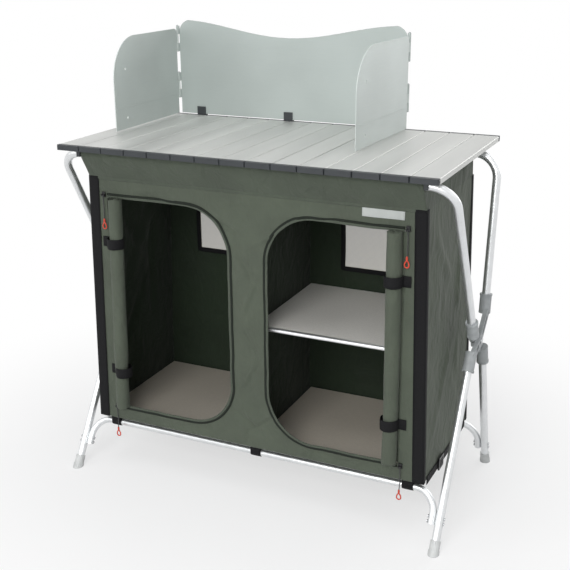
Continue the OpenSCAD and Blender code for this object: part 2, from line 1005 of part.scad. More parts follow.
zip_x = door_out + 7;
pull_y = -box_front - 5.8;
slider_w = 9;

// Slider body parked at the end of its track, with the bar that its cord hangs on.
module zip_slider(z) {
    translate([zip_x - slider_w / 2, -box_front - 3.2, z - 5])
        cube([slider_w, 3.1, 12]);
    for (s = [-1, 1])
        translate([zip_x + s * 3.4 - 1, pull_y - 1.6, z - 2])
            cube([2, -box_front - 3.1 - pull_y + 1.6, 4]);
    translate([zip_x - 3.4, pull_y, z])
        rotate([0, 90, 0])
            cylinder(h = 6.8, r = 0.8, $fn = 24);
}

module zip_sliders() {
    color("dimgray")
        for (s = [0, 1])
            mirror([s, 0, 0])
                for (z = [door_top + zip_w / 2, door_low - zip_w / 2])
                    zip_slider(z);
}

pull_len = 84;

// Pull cord with an eye on the slider bar and a sleeved loop at its end.
module zip_pull(x, z) {
    translate([x, pull_y, z]) {
        difference() {
            union() {
                translate([-1.3, 0, 0])
                    rotate([0, 90, 0])
                        cylinder(h = 2.6, r = 2.2, $fn = 24);
                translate([0, 0, -pull_len + 24])
                    cylinder(h = pull_len - 25.5, r = 1.2, $fn = 24);
            }
            translate([-3, 0, 0])
                rotate([0, 90, 0])
                    cylinder(h = 6, r = 0.85, $fn = 24);
        }
        translate([0, 0, -pull_len + 17])
            cylinder(h = 8, r = 2.2, $fn = 24);
        translate([0, 1.5, -pull_len + 8])
            rotate([90, 0, 0])
                linear_extrude(3)
                    difference() {
                        union() {
                            circle(r = 6.5);
                            translate([-2.2, 0])
                                square([4.4, 10]);
                        }
                        circle(r = 3.6);
                    }
    }
}

module zip_pull_tr() {
    color("red")
        zip_pull(zip_x, door_top + zip_w / 2);
}

module zip_pull_tl() {
    color("red")
        zip_pull(-zip_x, door_top + zip_w / 2);
}

module zip_pull_br() {
    color("red")
        zip_pull(zip_x, door_low - zip_w / 2);
}

module zip_pull_bl() {
    color("red")
        zip_pull(-zip_x, door_low - zip_w / 2);
}

module label_patch() {
    color("lightgray")
        translate([box_top_hw - label_in, -box_front - 1, seam_h - label_h - 4])
            cube([label_w, 0.95, label_h]);
}

strap_x = box_bot_hw + 0.4;

// Tension webbing low on each side.
module side_straps() {
    color("black")
        for (s = [0, 1])
            mirror([s, 0, 0])
                translate([strap_x, -box_front + 22, bottom_h - 12])
                    cube([1.4, box_front + box_rear - 44, 20]);
}

// Ladder lock: frame with three bars round the webbing.
module strap_buckles() {
    color("black")
        for (s = [0, 1])
            mirror([s, 0, 0])
                translate([strap_x + 1.7, -82, bottom_h - 17])
                    difference() {
                        cube([4, 34, 30]);
                        for (y = [5, 14, 23])
                            translate([-1, y, 4])
                                cube([6, 6, 22]);
                    }
}

front_top_frame();
hub_a_left();
hub_a_right();
rear_leg_left();
rear_leg_right();
rear_lower_rail();
rear_foot_caps();
rear_rail_rivets();
pivot_pins();
rear_top_frame();
hub_b_left();
hub_b_right();
front_leg_left();
front_leg_right();
front_lower_rail();
front_foot_caps();
front_rail_rivets();
front_rail_loops();
rear_rail_loops();
tabletop_slats();
front_end_caps();
rear_end_caps();
slat_cords();
tabletop_clips();
rear_rest_pads();
windscreen_back();
windscreen_brackets();
hinge_pins();
wing_left();
wing_right();
front_panel();
rear_panel();
side_panel_left();
side_panel_right();
yoke_front();
yoke_rear();
yoke_sides();
fabric_floor();
divider();
corner_webbing();
window_edging();
window_mesh();
floor_board_left();
floor_board_right();
mid_shelf();
board_edges();
shelf_edge();
shelf_ledges();
door_roll_left();
door_roll_right();
roll_straps();
zip_tapes();
zip_sliders();
zip_pull_tl();
zip_pull_tr();
zip_pull_bl();
zip_pull_br();
label_patch();
side_straps();
strap_buckles();
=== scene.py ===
"""Dressing for a folding camp kitchen cabinet: cloth, webbing, zips, metals, plastics and a plain studio."""

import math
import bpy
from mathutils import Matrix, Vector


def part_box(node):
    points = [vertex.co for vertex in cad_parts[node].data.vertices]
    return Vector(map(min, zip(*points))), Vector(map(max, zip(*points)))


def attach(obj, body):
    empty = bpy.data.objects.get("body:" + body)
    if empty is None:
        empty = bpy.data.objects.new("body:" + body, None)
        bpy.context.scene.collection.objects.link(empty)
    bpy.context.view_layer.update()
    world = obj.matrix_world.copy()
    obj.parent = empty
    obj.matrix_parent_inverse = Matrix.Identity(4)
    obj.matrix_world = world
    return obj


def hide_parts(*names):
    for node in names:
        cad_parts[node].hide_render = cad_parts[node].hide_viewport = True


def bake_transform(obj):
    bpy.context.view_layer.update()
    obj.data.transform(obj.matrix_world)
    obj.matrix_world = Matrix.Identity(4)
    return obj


bl_info = {
    "name": "Camp kitchen cabinet",
    "version": (1, 0, 0),
    "blender": (4, 5, 0),
    "location": "3D View > Sidebar > Cabinet",
    "description": "Builds the cloth, webbing and finishes of a folding camp kitchen cabinet",
    "category": "Object",
}

import bmesh
import bpy
import numpy as np
from bpy.props import FloatProperty, FloatVectorProperty, PointerProperty, StringProperty
from mathutils import Matrix

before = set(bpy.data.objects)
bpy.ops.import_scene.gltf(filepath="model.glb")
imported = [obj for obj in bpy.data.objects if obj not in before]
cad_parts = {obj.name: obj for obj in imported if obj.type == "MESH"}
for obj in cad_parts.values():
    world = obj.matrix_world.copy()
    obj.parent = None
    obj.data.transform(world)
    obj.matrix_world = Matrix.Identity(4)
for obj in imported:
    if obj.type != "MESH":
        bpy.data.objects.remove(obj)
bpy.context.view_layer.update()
ROOT, FRONT_FEET = "frame_a", "frame_b"


def lo(node):
    """Lowest corner of a solid as an array."""
    return np.array(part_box(node)[0])


def hi(node):
    """Highest corner of a solid as an array."""
    return np.array(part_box(node)[1])


# The box of cloth, read from the solids it stands for.
SEAM = hi("front_panel")[2]
HEM = lo("front_panel")[2]
Y_FRONT = lo("front_panel")[1]
Y_REAR = hi("rear_panel")[1]
HALF_LOW = hi("front_panel")[0]
HALF_TOP = float(max(v.co.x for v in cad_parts["front_panel"].data.vertices if v.co.z > SEAM - 0.001))
BAR_R = 0.0095  # top bars
RAIL_R = 0.008  # lower rails
BAR_Z = hi("front_top_frame")[2] - BAR_R
BAR_FRONT = lo("front_top_frame")[1] + BAR_R
BAR_REAR = hi("rear_top_frame")[1] - BAR_R


# ---------------------------------------------------------------- sizes and colours
def size(name, description, default, **limits):
    """A length in metres for the panel."""
    return FloatProperty(name=name, description=description, default=default, unit="LENGTH", **limits)


def colour(name, description, code):
    """A colour in sRGB hex for the panel."""
    return StringProperty(name=name, description=f"{description}, sRGB hex", default=code)


class CabinetSizes(bpy.types.PropertyGroup):
    cloth_thickness: size("Cloth thickness", "Coated polyester cloth", 0.0011, min=0.0005, max=0.002)
    cloth_slack: size("Cloth slack", "How far the side walls wave in and out", 0.007, min=0.0, max=0.01)
    front_slack: size("Front slack", "How far the front wall waves", 0.0036, min=0.0, max=0.005)
    door_in: size("Door inner edge", "Inner edge of a door opening from the centre", 0.047)
    door_out: size("Door outer edge", "Outer edge of a door opening from the centre", 0.366)
    door_top: size("Door top", "Top of a door opening", 0.710)
    door_low: size("Door bottom", "Bottom of a door opening", 0.171)
    door_radius: size("Door corner", "Radius of the inner door corners", 0.112)
    strap_thickness: size("Webbing thickness", "Thickness of the webbing", 0.0014)
    roll_radius: size("Rolled door radius", "Radius of a rolled door", 0.0188)


class CabinetColours(bpy.types.PropertyGroup):
    canvas: colour("Canvas", "Cloth of the walls", "#4D5448")
    # Darker than the canvas: painted shade of the band under the tabletop.
    band: colour("Top band", "Cloth of the band under the top", "#484F44")
    webbing: colour("Webbing", "Black webbing", "#0F0F11")
    tube: colour("Tube", "Anodised tube", "#DDDFE0")
    slat: colour("Slat", "Brushed slats", "#C9CAC7")
    cap: colour("End caps", "Moulded end caps", "#2B2F32")
    # A little darker than the wings of the same sheet: painted shade on the windscreen's back.
    screen: colour("Windscreen", "Windscreen sheet", "#A9B1AE")
    pull: colour("Pull loops", "Loops of the zip pulls", "#C8442F")
    backdrop: FloatVectorProperty(name="Backdrop", description="Colour of floor and backdrop",
                                  default=(0.9, 0.9, 0.9), size=3, subtype="COLOR", min=0, max=1)


# ---------------------------------------------------------------- surfaces
def lattice(p, uv=None, wrap=False, flip=False):
    """A grid of points p[i, j] becomes quads between neighbours; wrap closes j onto its start."""
    n, m = p.shape[:2]
    i, j = np.meshgrid(np.arange(n - 1), np.arange(m if wrap else m - 1), indexing="ij")
    k = (j + 1) % m
    quads = np.stack([i * m + j, (i + 1) * m + j, (i + 1) * m + k, i * m + k], -1).reshape(-1, 4)
    if flip:
        quads = quads[:, ::-1]
    if uv is None:
        du = np.r_[0, np.cumsum(np.linalg.norm(np.diff(p[:, m // 2], axis=0), axis=1))]
        dv = np.r_[0, np.cumsum(np.linalg.norm(np.diff(p[n // 2], axis=0), axis=1))]
        uv = np.stack(np.meshgrid(du, dv, indexing="ij"), -1)
    return p.reshape(-1, 3), [tuple(q) for q in quads.tolist()], uv.reshape(-1, 2)


def sweep(path, normal, section, caps=True, ring=False):
    """A profile carried along a path: each point is path + a * side + b * normal, side = tangent x normal."""
    path = np.asarray(path, float)
    normal = np.broadcast_to(np.asarray(normal, float), path.shape)
    if ring:
        tangent = np.roll(path, -1, 0) - np.roll(path, 1, 0)
    else:
        tangent = np.gradient(path, axis=0)
    tangent /= np.linalg.norm(tangent, axis=1)[:, None]
    normal = normal - (normal * tangent).sum(1)[:, None] * tangent
    normal /= np.linalg.norm(normal, axis=1)[:, None]
    side = np.cross(tangent, normal)
    s = np.asarray(section, float)
    p = path[:, None] + s[None, :, 0, None] * side[:, None] + s[None, :, 1, None] * normal[:, None]
    if ring:
        p = np.concatenate([p, p[:1]])
    along = np.r_[0, np.cumsum(np.linalg.norm(np.diff(p.mean(1), axis=0), axis=1))]
    around = np.r_[0, np.cumsum(np.linalg.norm(np.diff(s, axis=0), axis=1))]
    uv = np.stack(np.meshgrid(along, around, indexing="ij"), -1)
    v, f, t = lattice(p, uv, wrap=True)
    if caps and not ring:
        m = len(s)
        f = f + [tuple(range(m)), tuple(range(len(v) - 1, len(v) - 1 - m, -1))]
    return v, f, t


def strap_section(width, thick):
    """Flat oval of webbing: straight faces with rounded selvedges."""
    a = np.array([-1, -0.55, 0, 0.55, 1, 1, 0.55, 0, -0.55, -1]) * (width / 2)
    b = np.array([-0.45, -1, -1, -1, -0.45, 0.45, 1, 1, 1, 0.45]) * (thick / 2)
    return np.stack([a, b], -1)


def turn(n):
    """Angles of one full turn in n steps."""
    return np.linspace(0, 2 * np.pi, n, endpoint=False)


def disc_section(radius, sides=12):
    """Points of a circle."""
    a = turn(sides)
    return np.stack([radius * np.cos(a), radius * np.sin(a)], -1)


def strap(x, y, z, normal, width, thick, ring=False):
    """A run of webbing through the points x, y, z."""
    return sweep(points(x, y, z), normal, strap_section(width, thick), ring=ring)


WELD = 1e-6  # m


def make(name, parts, material, smooth=True, thick=0.0, inner=None, out=None):
    """Joins surfaces (points, faces, uv) into one piece with a UV map in metres.

    thick gives it a wall, inner a second finish on the wall's inside, out the side its faces point to.
    """
    verts, faces, uvs, base = [], [], [], 0
    for v, f, t in parts:
        verts.append(v)
        uvs.append(t)
        faces += [tuple(i + base for i in q) for q in f]
        base += len(v)
    verts, uvs = np.concatenate(verts), np.concatenate(uvs)
    if out is not None:
        q = verts[np.array([f[:3] for f in faces])]
        if (np.cross(q[:, 1] - q[:, 0], q[:, 2] - q[:, 0]) @ np.array(out, float)).sum() < 0:
            faces = [f[::-1] for f in faces]
    mesh = bpy.data.meshes.new(name)
    mesh.from_pydata(verts.tolist(), [], faces)
    layer = mesh.uv_layers.new(name="thread")
    index = np.empty(len(mesh.loops), int)
    mesh.loops.foreach_get("vertex_index", index)
    layer.data.foreach_set("uv", uvs[index].astype(np.float32).ravel())
    # Points in the same place become one, so that seams and poles are closed.
    weld = bmesh.new()
    weld.from_mesh(mesh)
    bmesh.ops.remove_doubles(weld, verts=weld.verts[:], dist=WELD)
    weld.to_mesh(mesh)
    weld.free()
    if smooth:
        mesh.shade_smooth()
    mesh.update()
    obj = bpy.data.objects.new(name, mesh)
    bpy.context.scene.collection.objects.link(obj)
    mesh.materials.append(material)
    if thick:
        m = obj.modifiers.new("wall", "SOLIDIFY")
        m.thickness = thick
        m.offset = 0.0
        if inner is not None:
            mesh.materials.append(inner)
            m.material_offset = 1
        bpy.context.view_layer.update()
        graph = bpy.context.evaluated_depsgraph_get()
        solid = bpy.data.meshes.new_from_object(obj.evaluated_get(graph))
        obj.modifiers.clear()
        obj.data = solid
    return obj


def patch(x0, x1, z, n, place):
    """Flat rectangle of n columns between x0 and x1 over the rows z; place lifts it to space."""
    t = np.linspace(0, 1, n + 1)[:, None]
    one = np.ones_like(z)
    x = x0 * one * (1 - t) + x1 * one * t
    zz = np.broadcast_to(z[None], x.shape)
    return lattice(place(x, zz), np.stack([x, zz], -1))


def holed(z, edges, counts, holes, place):
    """One grid of rows z whose columns run between edges (arrays along z); holes lists (span, low, high) left open."""
    columns = [a + (b - a) * np.linspace(0, 1, n, endpoint=False)[:, None]
               for a, b, n in zip(edges, edges[1:], counts)]
    x = np.concatenate(columns + [edges[-1][None]])
    zz = np.broadcast_to(z[None], x.shape)
    v, f, uv = lattice(place(x, zz), np.stack([x, zz], -1))
    span = np.repeat(np.arange(len(counts)), counts)
    m = len(z)
    mid = (z[1:] + z[:-1]) / 2
    keep = np.ones((len(span), m - 1), bool)
    for which, low, high in holes:
        keep[np.ix_(span == which, (mid > low) & (mid < high))] = False
    f = np.array(f)[keep.ravel()]
    used, index = np.unique(f, return_inverse=True)
    return v[used], [tuple(q) for q in index.reshape(-1, 4).tolist()], uv[used]


def points(x, y, z):
    """Points from three coordinates, any of which may be a plain number."""
    return np.stack(np.broadcast_arrays(x, y, z), -1)


def ramp(distance, reach):
    """0 at a held edge, rising to 1 at a given reach from it."""
    return np.clip(distance / reach, 0, 1)


def waves(a, b, seed, long=0.16):
    """Sum of slow sines with random headings, from -1 to 1: the lie of slack cloth."""
    rng = np.random.default_rng(seed)
    out = np.zeros_like(a)
    for k in range(6):
        th, ph = rng.uniform(0, np.pi), rng.uniform(0, 6.28)
        w = 2 * np.pi / (long * rng.uniform(0.6, 1.8))
        out += np.sin(w * (np.cos(th) * a + np.sin(th) * b) + ph) / 6 ** 0.5
    return out / 1.8


def crease(a, b, p, q, width, depth):
    """Ridge of a given width and depth along the line from p to q, fading at its ends."""
    d = np.array(q) - np.array(p)
    length = np.linalg.norm(d)
    s = ((a - p[0]) * d[0] + (b - p[1]) * d[1]) / length ** 2
    off = ((a - p[0]) * d[1] - (b - p[1]) * d[0]) / length
    fade = np.sin(np.pi * np.clip(s, 0, 1)) ** 1.5
    return depth * fade * np.exp(-(off / width) ** 2)


def pulled(w, a, b, creases):
    """Adds creases (from, to, width, depth) to the waves w."""
    for start, end, width, depth in creases:
        w = w + crease(a, b, start, end, width, depth)
    return w


def half_at(z):
    """Half width of the cloth box at height z."""
    return HALF_TOP + (HALF_LOW - HALF_TOP) * (SEAM - z) / (SEAM - HEM)


# ---------------------------------------------------------------- materials
def linear(code):
    """sRGB hex to linear RGBA."""
    c = np.array([int(code.lstrip("#")[i:i + 2], 16) for i in (0, 2, 4)]) / 255
    c = np.where(c <= 0.04045, c / 12.92, ((c + 0.055) / 1.055) ** 2.4)
    return (*c.tolist(), 1.0)


def add(tree, kind, links=(), **settings):
    """Adds a node, sets its inputs and settings, and links (socket, source output) pairs."""
    node = tree.nodes.new(kind)
    for key, value in settings.items():
        name = key.replace("_", " ")
        if name in node.inputs:
            node.inputs[name].default_value = value
        else:
            setattr(node, key, value)
    for socket, source in links:
        tree.links.new(source, node.inputs[socket])
    return node


def fresh(name, code, **inputs):
    """New material with a Principled surface in a hex colour."""
    mat = bpy.data.materials.new(name)
    mat.use_nodes = True
    tree = mat.node_tree
    shader = tree.nodes["Principled BSDF"]
    shader.inputs["Base Color"].default_value = linear(code)
    for key, value in inputs.items():
        shader.inputs[key.replace("_", " ")].default_value = value
    return mat, tree, shader


def thread(tree):
    """Coordinates in metres along the cloth or cord."""
    return add(tree, "ShaderNodeUVMap", uv_map="thread").outputs[0]


def in_object(tree):
    """Coordinates in metres in the piece's own frame."""
    return add(tree, "ShaderNodeTexCoord").outputs["Object"]


def noise(tree, vector, **settings):
    """Noise from 0 to 1; its settings are the node's own."""
    return add(tree, "ShaderNodeTexNoise", [("Vector", vector)], **settings).outputs["Fac"]


def stretched(tree, source, scale):
    """Coordinates with their own scale on each axis."""
    return add(tree, "ShaderNodeMapping", [("Vector", source)], Scale=scale).outputs[0]


def shade(tree, shader, tones, fac, a=0.3, b=0.7):
    """Colour between two tones by a pattern that runs from a to b."""
    spread = add(tree, "ShaderNodeMapRange", [("Value", fac)], From_Min=a, From_Max=b)
    mix = add(tree, "ShaderNodeMix", [(0, spread.outputs[0])], data_type="RGBA")
    mix.inputs[6].default_value, mix.inputs[7].default_value = tones
    tree.links.new(mix.outputs[2], shader.inputs["Base Color"])


def rough(tree, shader, fac, a, b):
    """Roughness between a and b by a pattern."""
    spread = add(tree, "ShaderNodeMapRange", [("Value", fac)], From_Min=0.3, From_Max=0.7, To_Min=a, To_Max=b)
    tree.links.new(spread.outputs[0], shader.inputs["Roughness"])


def bump(tree, shader, height, strength, distance, under=None):
    """Relief of a pattern, on top of another if given."""
    node = add(tree, "ShaderNodeBump", [("Height", height)], Strength=strength, Distance=distance)
    if under is not None:
        tree.links.new(under.outputs[0], node.inputs["Normal"])
    tree.links.new(node.outputs[0], shader.inputs["Normal"])
    return node


def bands(tree, vector, pitch, direction="X", distortion=0.3):
    """Bands whose period is pitch metres along their axis."""
    scale = (math.pi / 5 if direction == "DIAGONAL" else math.pi / 10) / pitch
    node = add(tree, "ShaderNodeTexWave", [("Vector", vector)], wave_type="BANDS",
               bands_direction=direction, Scale=scale, Distortion=distortion)
    return node.outputs["Fac"]


def tones(code, low, high):
    """A hex colour made darker and lighter by two factors."""
    return tuple((*(min(1.0, x * k) for x in linear(code)[:3]), 1.0) for k in (low, high))


def coated_canvas(name, code):
    """Coated polyester plain weave: dull threads with a faint sheen and slow shade changes where it was folded."""
    mat, tree, shader = fresh(name, code, Roughness=0.78, IOR=1.5, Sheen_Weight=0.08,
                              Sheen_Roughness=0.5, Specular_IOR_Level=0.35)
    uv = thread(tree)
    # The real thread pitch of about 0.4 mm is too fine to show, so it is drawn at 2.2 mm.
    pitch = 0.0022
    warp, weft = bands(tree, uv, pitch, "X", 0.6), bands(tree, uv, pitch, "Y", 0.6)
    weave = add(tree, "ShaderNodeMath", [(0, warp), (1, weft)], operation="MULTIPLY")
    obj = in_object(tree)
    slow = noise(tree, obj, Scale=9.0, Detail=5.0, Roughness=0.6)
    shade(tree, shader, tones(code, 0.84, 1.16), slow)
    # Crumples of 15 to 40 mm left by folding.
    tall = stretched(tree, obj, (1.0, 1.0, 0.6))
    soft = noise(tree, tall, Scale=24.0, Detail=4.0, Roughness=0.55, Distortion=0.8)
    under = bump(tree, shader, soft, 0.8, 0.009)
    bump(tree, shader, weave.outputs[0], 0.22, 0.0006, under)
    rough(tree, shader, slow, 0.70, 0.86)
    return mat


def black_webbing(name, code):
    """Woven polypropylene webbing: black ribs across the strap with a slight gloss on each rib."""
    mat, tree, shader = fresh(name, code, Roughness=0.72, IOR=1.49, Specular_IOR_Level=0.22)
    uv = thread(tree)
    twill, ribs = bands(tree, uv, 0.0024, "DIAGONAL"), bands(tree, uv, 0.0018)
    both = add(tree, "ShaderNodeMath", [(0, twill), (1, ribs)], operation="ADD")
    fuzz = noise(tree, uv, Scale=300.0, Detail=2.0)
    shade(tree, shader, tones(code, 0.7, 1.4), fuzz)
    bump(tree, shader, both.outputs[0], 0.5, 0.0005)
    return mat


def anodised_tube(name, code):
    """Drawn aluminium tube, satin anodised: bright silver-white with faint lengthwise haze."""
    mat, tree, shader = fresh(name, code, Metallic=0.85, Roughness=0.34)
    obj = in_object(tree)
    haze = noise(tree, obj, Scale=60.0, Detail=6.0, Roughness=0.65)
    shade(tree, shader, tones(code, 0.93, 1.04), haze)
    rough(tree, shader, haze, 0.27, 0.40)
    grain = noise(tree, obj, Scale=900.0, Detail=2.0)
    bump(tree, shader, grain, 0.12, 0.0003)
    return mat


def brushed_slat(name, code):
    """Extruded slats brushed along their length and anodised: matt silver with fine front-to-back lines."""
    mat, tree, shader = fresh(name, code, Metallic=0.6, Roughness=0.45)
    obj = in_object(tree)
    line = noise(tree, stretched(tree, obj, (620.0, 6.0, 620.0)), Scale=1.0, Detail=4.0, Roughness=0.7)
    slow = noise(tree, stretched(tree, obj, (16.7, 1.2, 1.0)), Scale=1.0, Detail=1.0)
    fac = add(tree, "ShaderNodeMath", [(0, line), (1, slow)], operation="ADD")
    half = add(tree, "ShaderNodeMath", [(0, fac.outputs[0])], operation="MULTIPLY")
    half.inputs[1].default_value = 0.5
    shade(tree, shader, tones(code, 0.86, 1.10), half.outputs[0])
    rough(tree, shader, half.outputs[0], 0.38, 0.56)
    bump(tree, shader, line, 0.15, 0.0003)
    return mat


def satin_sheet(name, code):
    """Rolled aluminium sheet, satin anodised: soft grey with a broad, dull reflection."""
    mat, tree, shader = fresh(name, code, Metallic=0.3, Roughness=0.5)
    obj = in_object(tree)
    grain = noise(tree, stretched(tree, obj, (30.0, 30.0, 420.0)), Scale=1.0, Detail=4.0, Roughness=0.6)
    slow = noise(tree, obj, Scale=5.0, Detail=2.0)
    shade(tree, shader, tones(code, 0.93, 1.05), slow)
    rough(tree, shader, grain, 0.44, 0.58)
    bump(tree, shader, grain, 0.06, 0.0003)
    return mat


def grained_plastic(name, code, roughness=0.5, grit=0.0012):
    """Injection-moulded polypropylene: a fine spark-eroded grain that dulls the gloss."""
    mat, tree, shader = fresh(name, code, Roughness=roughness, IOR=1.49)
    obj = in_object(tree)
    grain = add(tree, "ShaderNodeTexVoronoi", [("Vector", obj)], Scale=1 / grit)
    slow = noise(tree, obj, Scale=40.0, Detail=3.0)
    shade(tree, shader, tones(code, 0.88, 1.14), slow)
    rough(tree, shader, slow, roughness - 0.08, roughness + 0.08)
    bump(tree, shader, grain.outputs["Distance"], 0.15, 0.0003)
    return mat


def coated_board(name, code):
    """Fibreboard with a melamine face: pale, even, with a barely seen fleck."""
    mat, tree, shader = fresh(name, code, Roughness=0.42, IOR=1.5)
    obj = in_object(tree)
    fleck = noise(tree, obj, Scale=240.0, Detail=3.0, Roughness=0.7)
    shade(tree, shader, tones(code, 0.92, 1.05), fleck)
    rough(tree, shader, fleck, 0.36, 0.5)
    bump(tree, shader, fleck, 0.08, 0.0003)
    return mat


def plated_steel(name, code, roughness=0.25):
    """Zinc-plated steel: grey, tight highlights with faint mottling."""
    mat, tree, shader = fresh(name, code, Metallic=1.0, Roughness=roughness)
    obj = in_object(tree)
    spots = noise(tree, obj, Scale=220.0, Detail=4.0)
    shade(tree, shader, tones(code, 0.85, 1.1), spots)
    rough(tree, shader, spots, roughness - 0.07, roughness + 0.12)
    return mat


def zip_coil(name, code):
    """Coil zip: woven tape with a ridge of fine nylon turns down the middle."""
    mat, tree, shader = fresh(name, code, Roughness=0.75, IOR=1.53, Specular_IOR_Level=0.25)
    uv = thread(tree)
    # Turns of 1.3 mm are drawn at 2.6 mm so that they show.
    turns = bands(tree, uv, 0.0026, "X", 0.0)
    shade(tree, shader, tones(code, 0.6, 1.5), turns, 0.1, 0.9)
    bump(tree, shader, turns, 0.6, 0.0006)
    return mat


def fine_net(name, code):
    """Insect net of fine threads: a taupe veil that lets light through its holes."""
    mat, tree, shader = fresh(name, code, Roughness=0.8, Alpha=0.72)
    uv = thread(tree)
    net = add(tree, "ShaderNodeTexBrick", [("Vector", uv)], offset=0.0, Scale=1.0,
              Mortar_Size=0.0006, Brick_Width=0.003, Row_Height=0.003)
    shade(tree, shader, tones(code, 0.9, 0.7), net.outputs["Fac"], 0.0, 1.0)
    bump(tree, shader, net.outputs["Fac"], 0.3, 0.0004)
    return mat


def braided_cord(name, code):
    """Braided polyester cord: diagonal plaits in one dark colour."""
    mat, tree, shader = fresh(name, code, Roughness=0.6, IOR=1.5, Sheen_Weight=0.2)
    uv = thread(tree)
    plait = bands(tree, uv, 0.0015, "DIAGONAL")
    shade(tree, shader, tones(code, 0.75, 1.15), plait, 0.2, 0.8)
    bump(tree, shader, plait, 0.5, 0.0005)
    return mat


MADE = {}


def finish(key):
    """The object's finishes, made once and shared."""
    c = bpy.context.scene.cabinet_colours
    recipes = {
        "canvas": lambda: coated_canvas("coated canvas", c.canvas),
        # The band's cloth is the canvas made darker: painted shade under the tabletop, shared by the door hems and the
        # seam hem.
        "band": lambda: coated_canvas("coated canvas band with painted shade", c.band),
        # Near-black inside cloth: partly the dark coating on the cloth's inner face, partly painted shade of the
        # interior. The walls' inner faces, the divider and the floor cloth wear it.
        "inside": lambda: coated_canvas("coated canvas inside with painted shade", "#1C2819"),
        "webbing": lambda: black_webbing("black webbing", c.webbing),
        "tube": lambda: anodised_tube("satin anodised tube", c.tube),
        "slat": lambda: brushed_slat("brushed anodised slat", c.slat),
        "edge": lambda: anodised_tube("bright edge profile", "#E4E6E7"),
        # The wings and the back are one anodised sheet in two tones. The wings are painted lighter as painted light on
        # their inner faces, and the back darker as painted shade.
        "sheet": lambda: satin_sheet("satin anodised sheet", c.screen),
        "wing": lambda: satin_sheet("satin anodised wing with painted light", "#C0C7C4"),
        "cap": lambda: grained_plastic("moulded end cap", c.cap),
        "hub": lambda: grained_plastic("moulded hub grey", "#9FA3A4", 0.45),
        "foot": lambda: grained_plastic("moulded foot pale", "#C9CBCA", 0.5),
        "buckle": lambda: grained_plastic("moulded acetal black", "#151517", 0.3),
        "zip": lambda: zip_coil("nylon coil zip", "#1A2019"),
        "steel": lambda: plated_steel("zinc-plated steel", "#B9BBBD"),
        "board": lambda: coated_board("melamine board taupe", "#B9B2A6"),
        "shelf": lambda: coated_board("melamine board white", "#DEDCD6"),
        "net": lambda: fine_net("insect net", "#A9A491"),
        "cord": lambda: braided_cord("braided cord dark", "#2A2A2C"),
        "pull": lambda: grained_plastic("moulded loop red", c.pull, 0.45),
        "label": lambda: coated_canvas("woven label blank", "#B4B8B5"),
        "elastic": lambda: braided_cord("braided elastic", "#232325"),
    }
    if key not in MADE:
        MADE[key] = recipes[key]()
    return MADE[key]


def coat(key, *nodes):
    """Gives solids their finish."""
    for n in nodes:
        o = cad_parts[n]
        o.data.materials.clear()
        o.data.materials.append(finish(key))


# ---------------------------------------------------------------- how cloth is tied to the frame
CORNERS = {"ft": (Y_FRONT, SEAM), "rt": (Y_REAR, SEAM), "rb": (Y_REAR, HEM), "fb": (Y_FRONT, HEM)}


def hang(obj, where, replaces=()):
    """Ties a piece to one body, or fixes a piece that spans the fold where it was made, without bending it.

    The ends listed for the fold are not used: the front wall runs from the front bar to the front rail, and the rear
    wall the other way round.
    """
    ends = {
        "front": ((0, 0, SEAM), (0, 0, HEM), ROOT, FRONT_FEET),
        "rear": ((0, 0, SEAM), (0, 0, HEM), FRONT_FEET, ROOT),
        "top": ((0, Y_FRONT, 0), (0, Y_REAR, 0), ROOT, FRONT_FEET),
        "bottom": ((0, Y_FRONT, 0), (0, Y_REAR, 0), FRONT_FEET, ROOT),
    }
    if where in ends:
        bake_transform(obj)
    else:
        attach(obj, where)
    if replaces:
        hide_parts(*replaces)
    return obj


def piece(name, parts, key, where, slot="canvas", replaces=(), **wall):
    """Makes a piece in one of the finishes and ties it to its body or fixes it in place."""
    return hang(make(name, parts, finish(key), **wall), where, replaces)


def even_normals(obj, place):
    """Normals from the slope of the whole wall, by small differences, so its quarters shade as one."""
    mesh = obj.data
    co, old = (np.empty(len(mesh.vertices) * 3) for _ in range(2))
    mesh.vertices.foreach_get("co", co)
    mesh.vertices.foreach_get("normal", old)
    co, old = co.reshape(-1, 3), old.reshape(-1, 3)
    d = 0.0005
    y, z = co[:, 1], co[:, 2]
    slope = np.cross(place(y + d, z) - place(y - d, z), place(y, z + d) - place(y, z - d))
    slope /= np.linalg.norm(slope, axis=1)[:, None]
    slope *= np.sign((slope * old).sum(1))[:, None]
    mesh.normals_split_custom_set_from_vertices(slope.tolist())


def quarters(name, place, material, thick, replaces, out, n=26):
    """A wall in the YZ plane as four triangles that meet at its middle, one along each edge."""
    cy, cz = (Y_FRONT + Y_REAR) / 2, (SEAM + HEM) / 2
    for where, a, b in (("top", "ft", "rt"), ("rear", "rt", "rb"), ("bottom", "rb", "fb"), ("front", "fb", "ft")):
        s = np.linspace(0.0, 1.0, n + 1)[:, None]
        t = np.linspace(0, 1, n + 1)[None]
        (ay, az), (by, bz) = CORNERS[a], CORNERS[b]
        y = cy + s * ((ay + t * (by - ay)) - cy)
        z = cz + s * ((az + t * (bz - az)) - cz)
        grid = lattice(place(y, z), np.stack([y, z], -1))
        o = make(f"{name}_{where}", [grid], material, thick=thick, inner=finish("inside"), out=out)
        even_normals(o, place)
        hang(o, where, replaces)


# ---------------------------------------------------------------- operators
class CABINET_OT_metal(bpy.types.Operator):
    """Finishes the tube frame, hubs, feet, rivets and pins"""
    bl_idname = "cabinet.metal"
    bl_label = "Frame finishes"

    def execute(self, context):
        coat("tube", "front_top_frame", "rear_top_frame", "rear_leg_left", "rear_leg_right",
             "front_leg_left", "front_leg_right", "front_lower_rail", "rear_lower_rail")
        coat("hub", "hub_a_left", "hub_a_right", "hub_b_left", "hub_b_right")
        coat("foot", "rear_foot_caps", "front_foot_caps")
        coat("steel", "rear_rail_rivets", "front_rail_rivets", "pivot_pins", "hinge_pins")
        return {"FINISHED"}


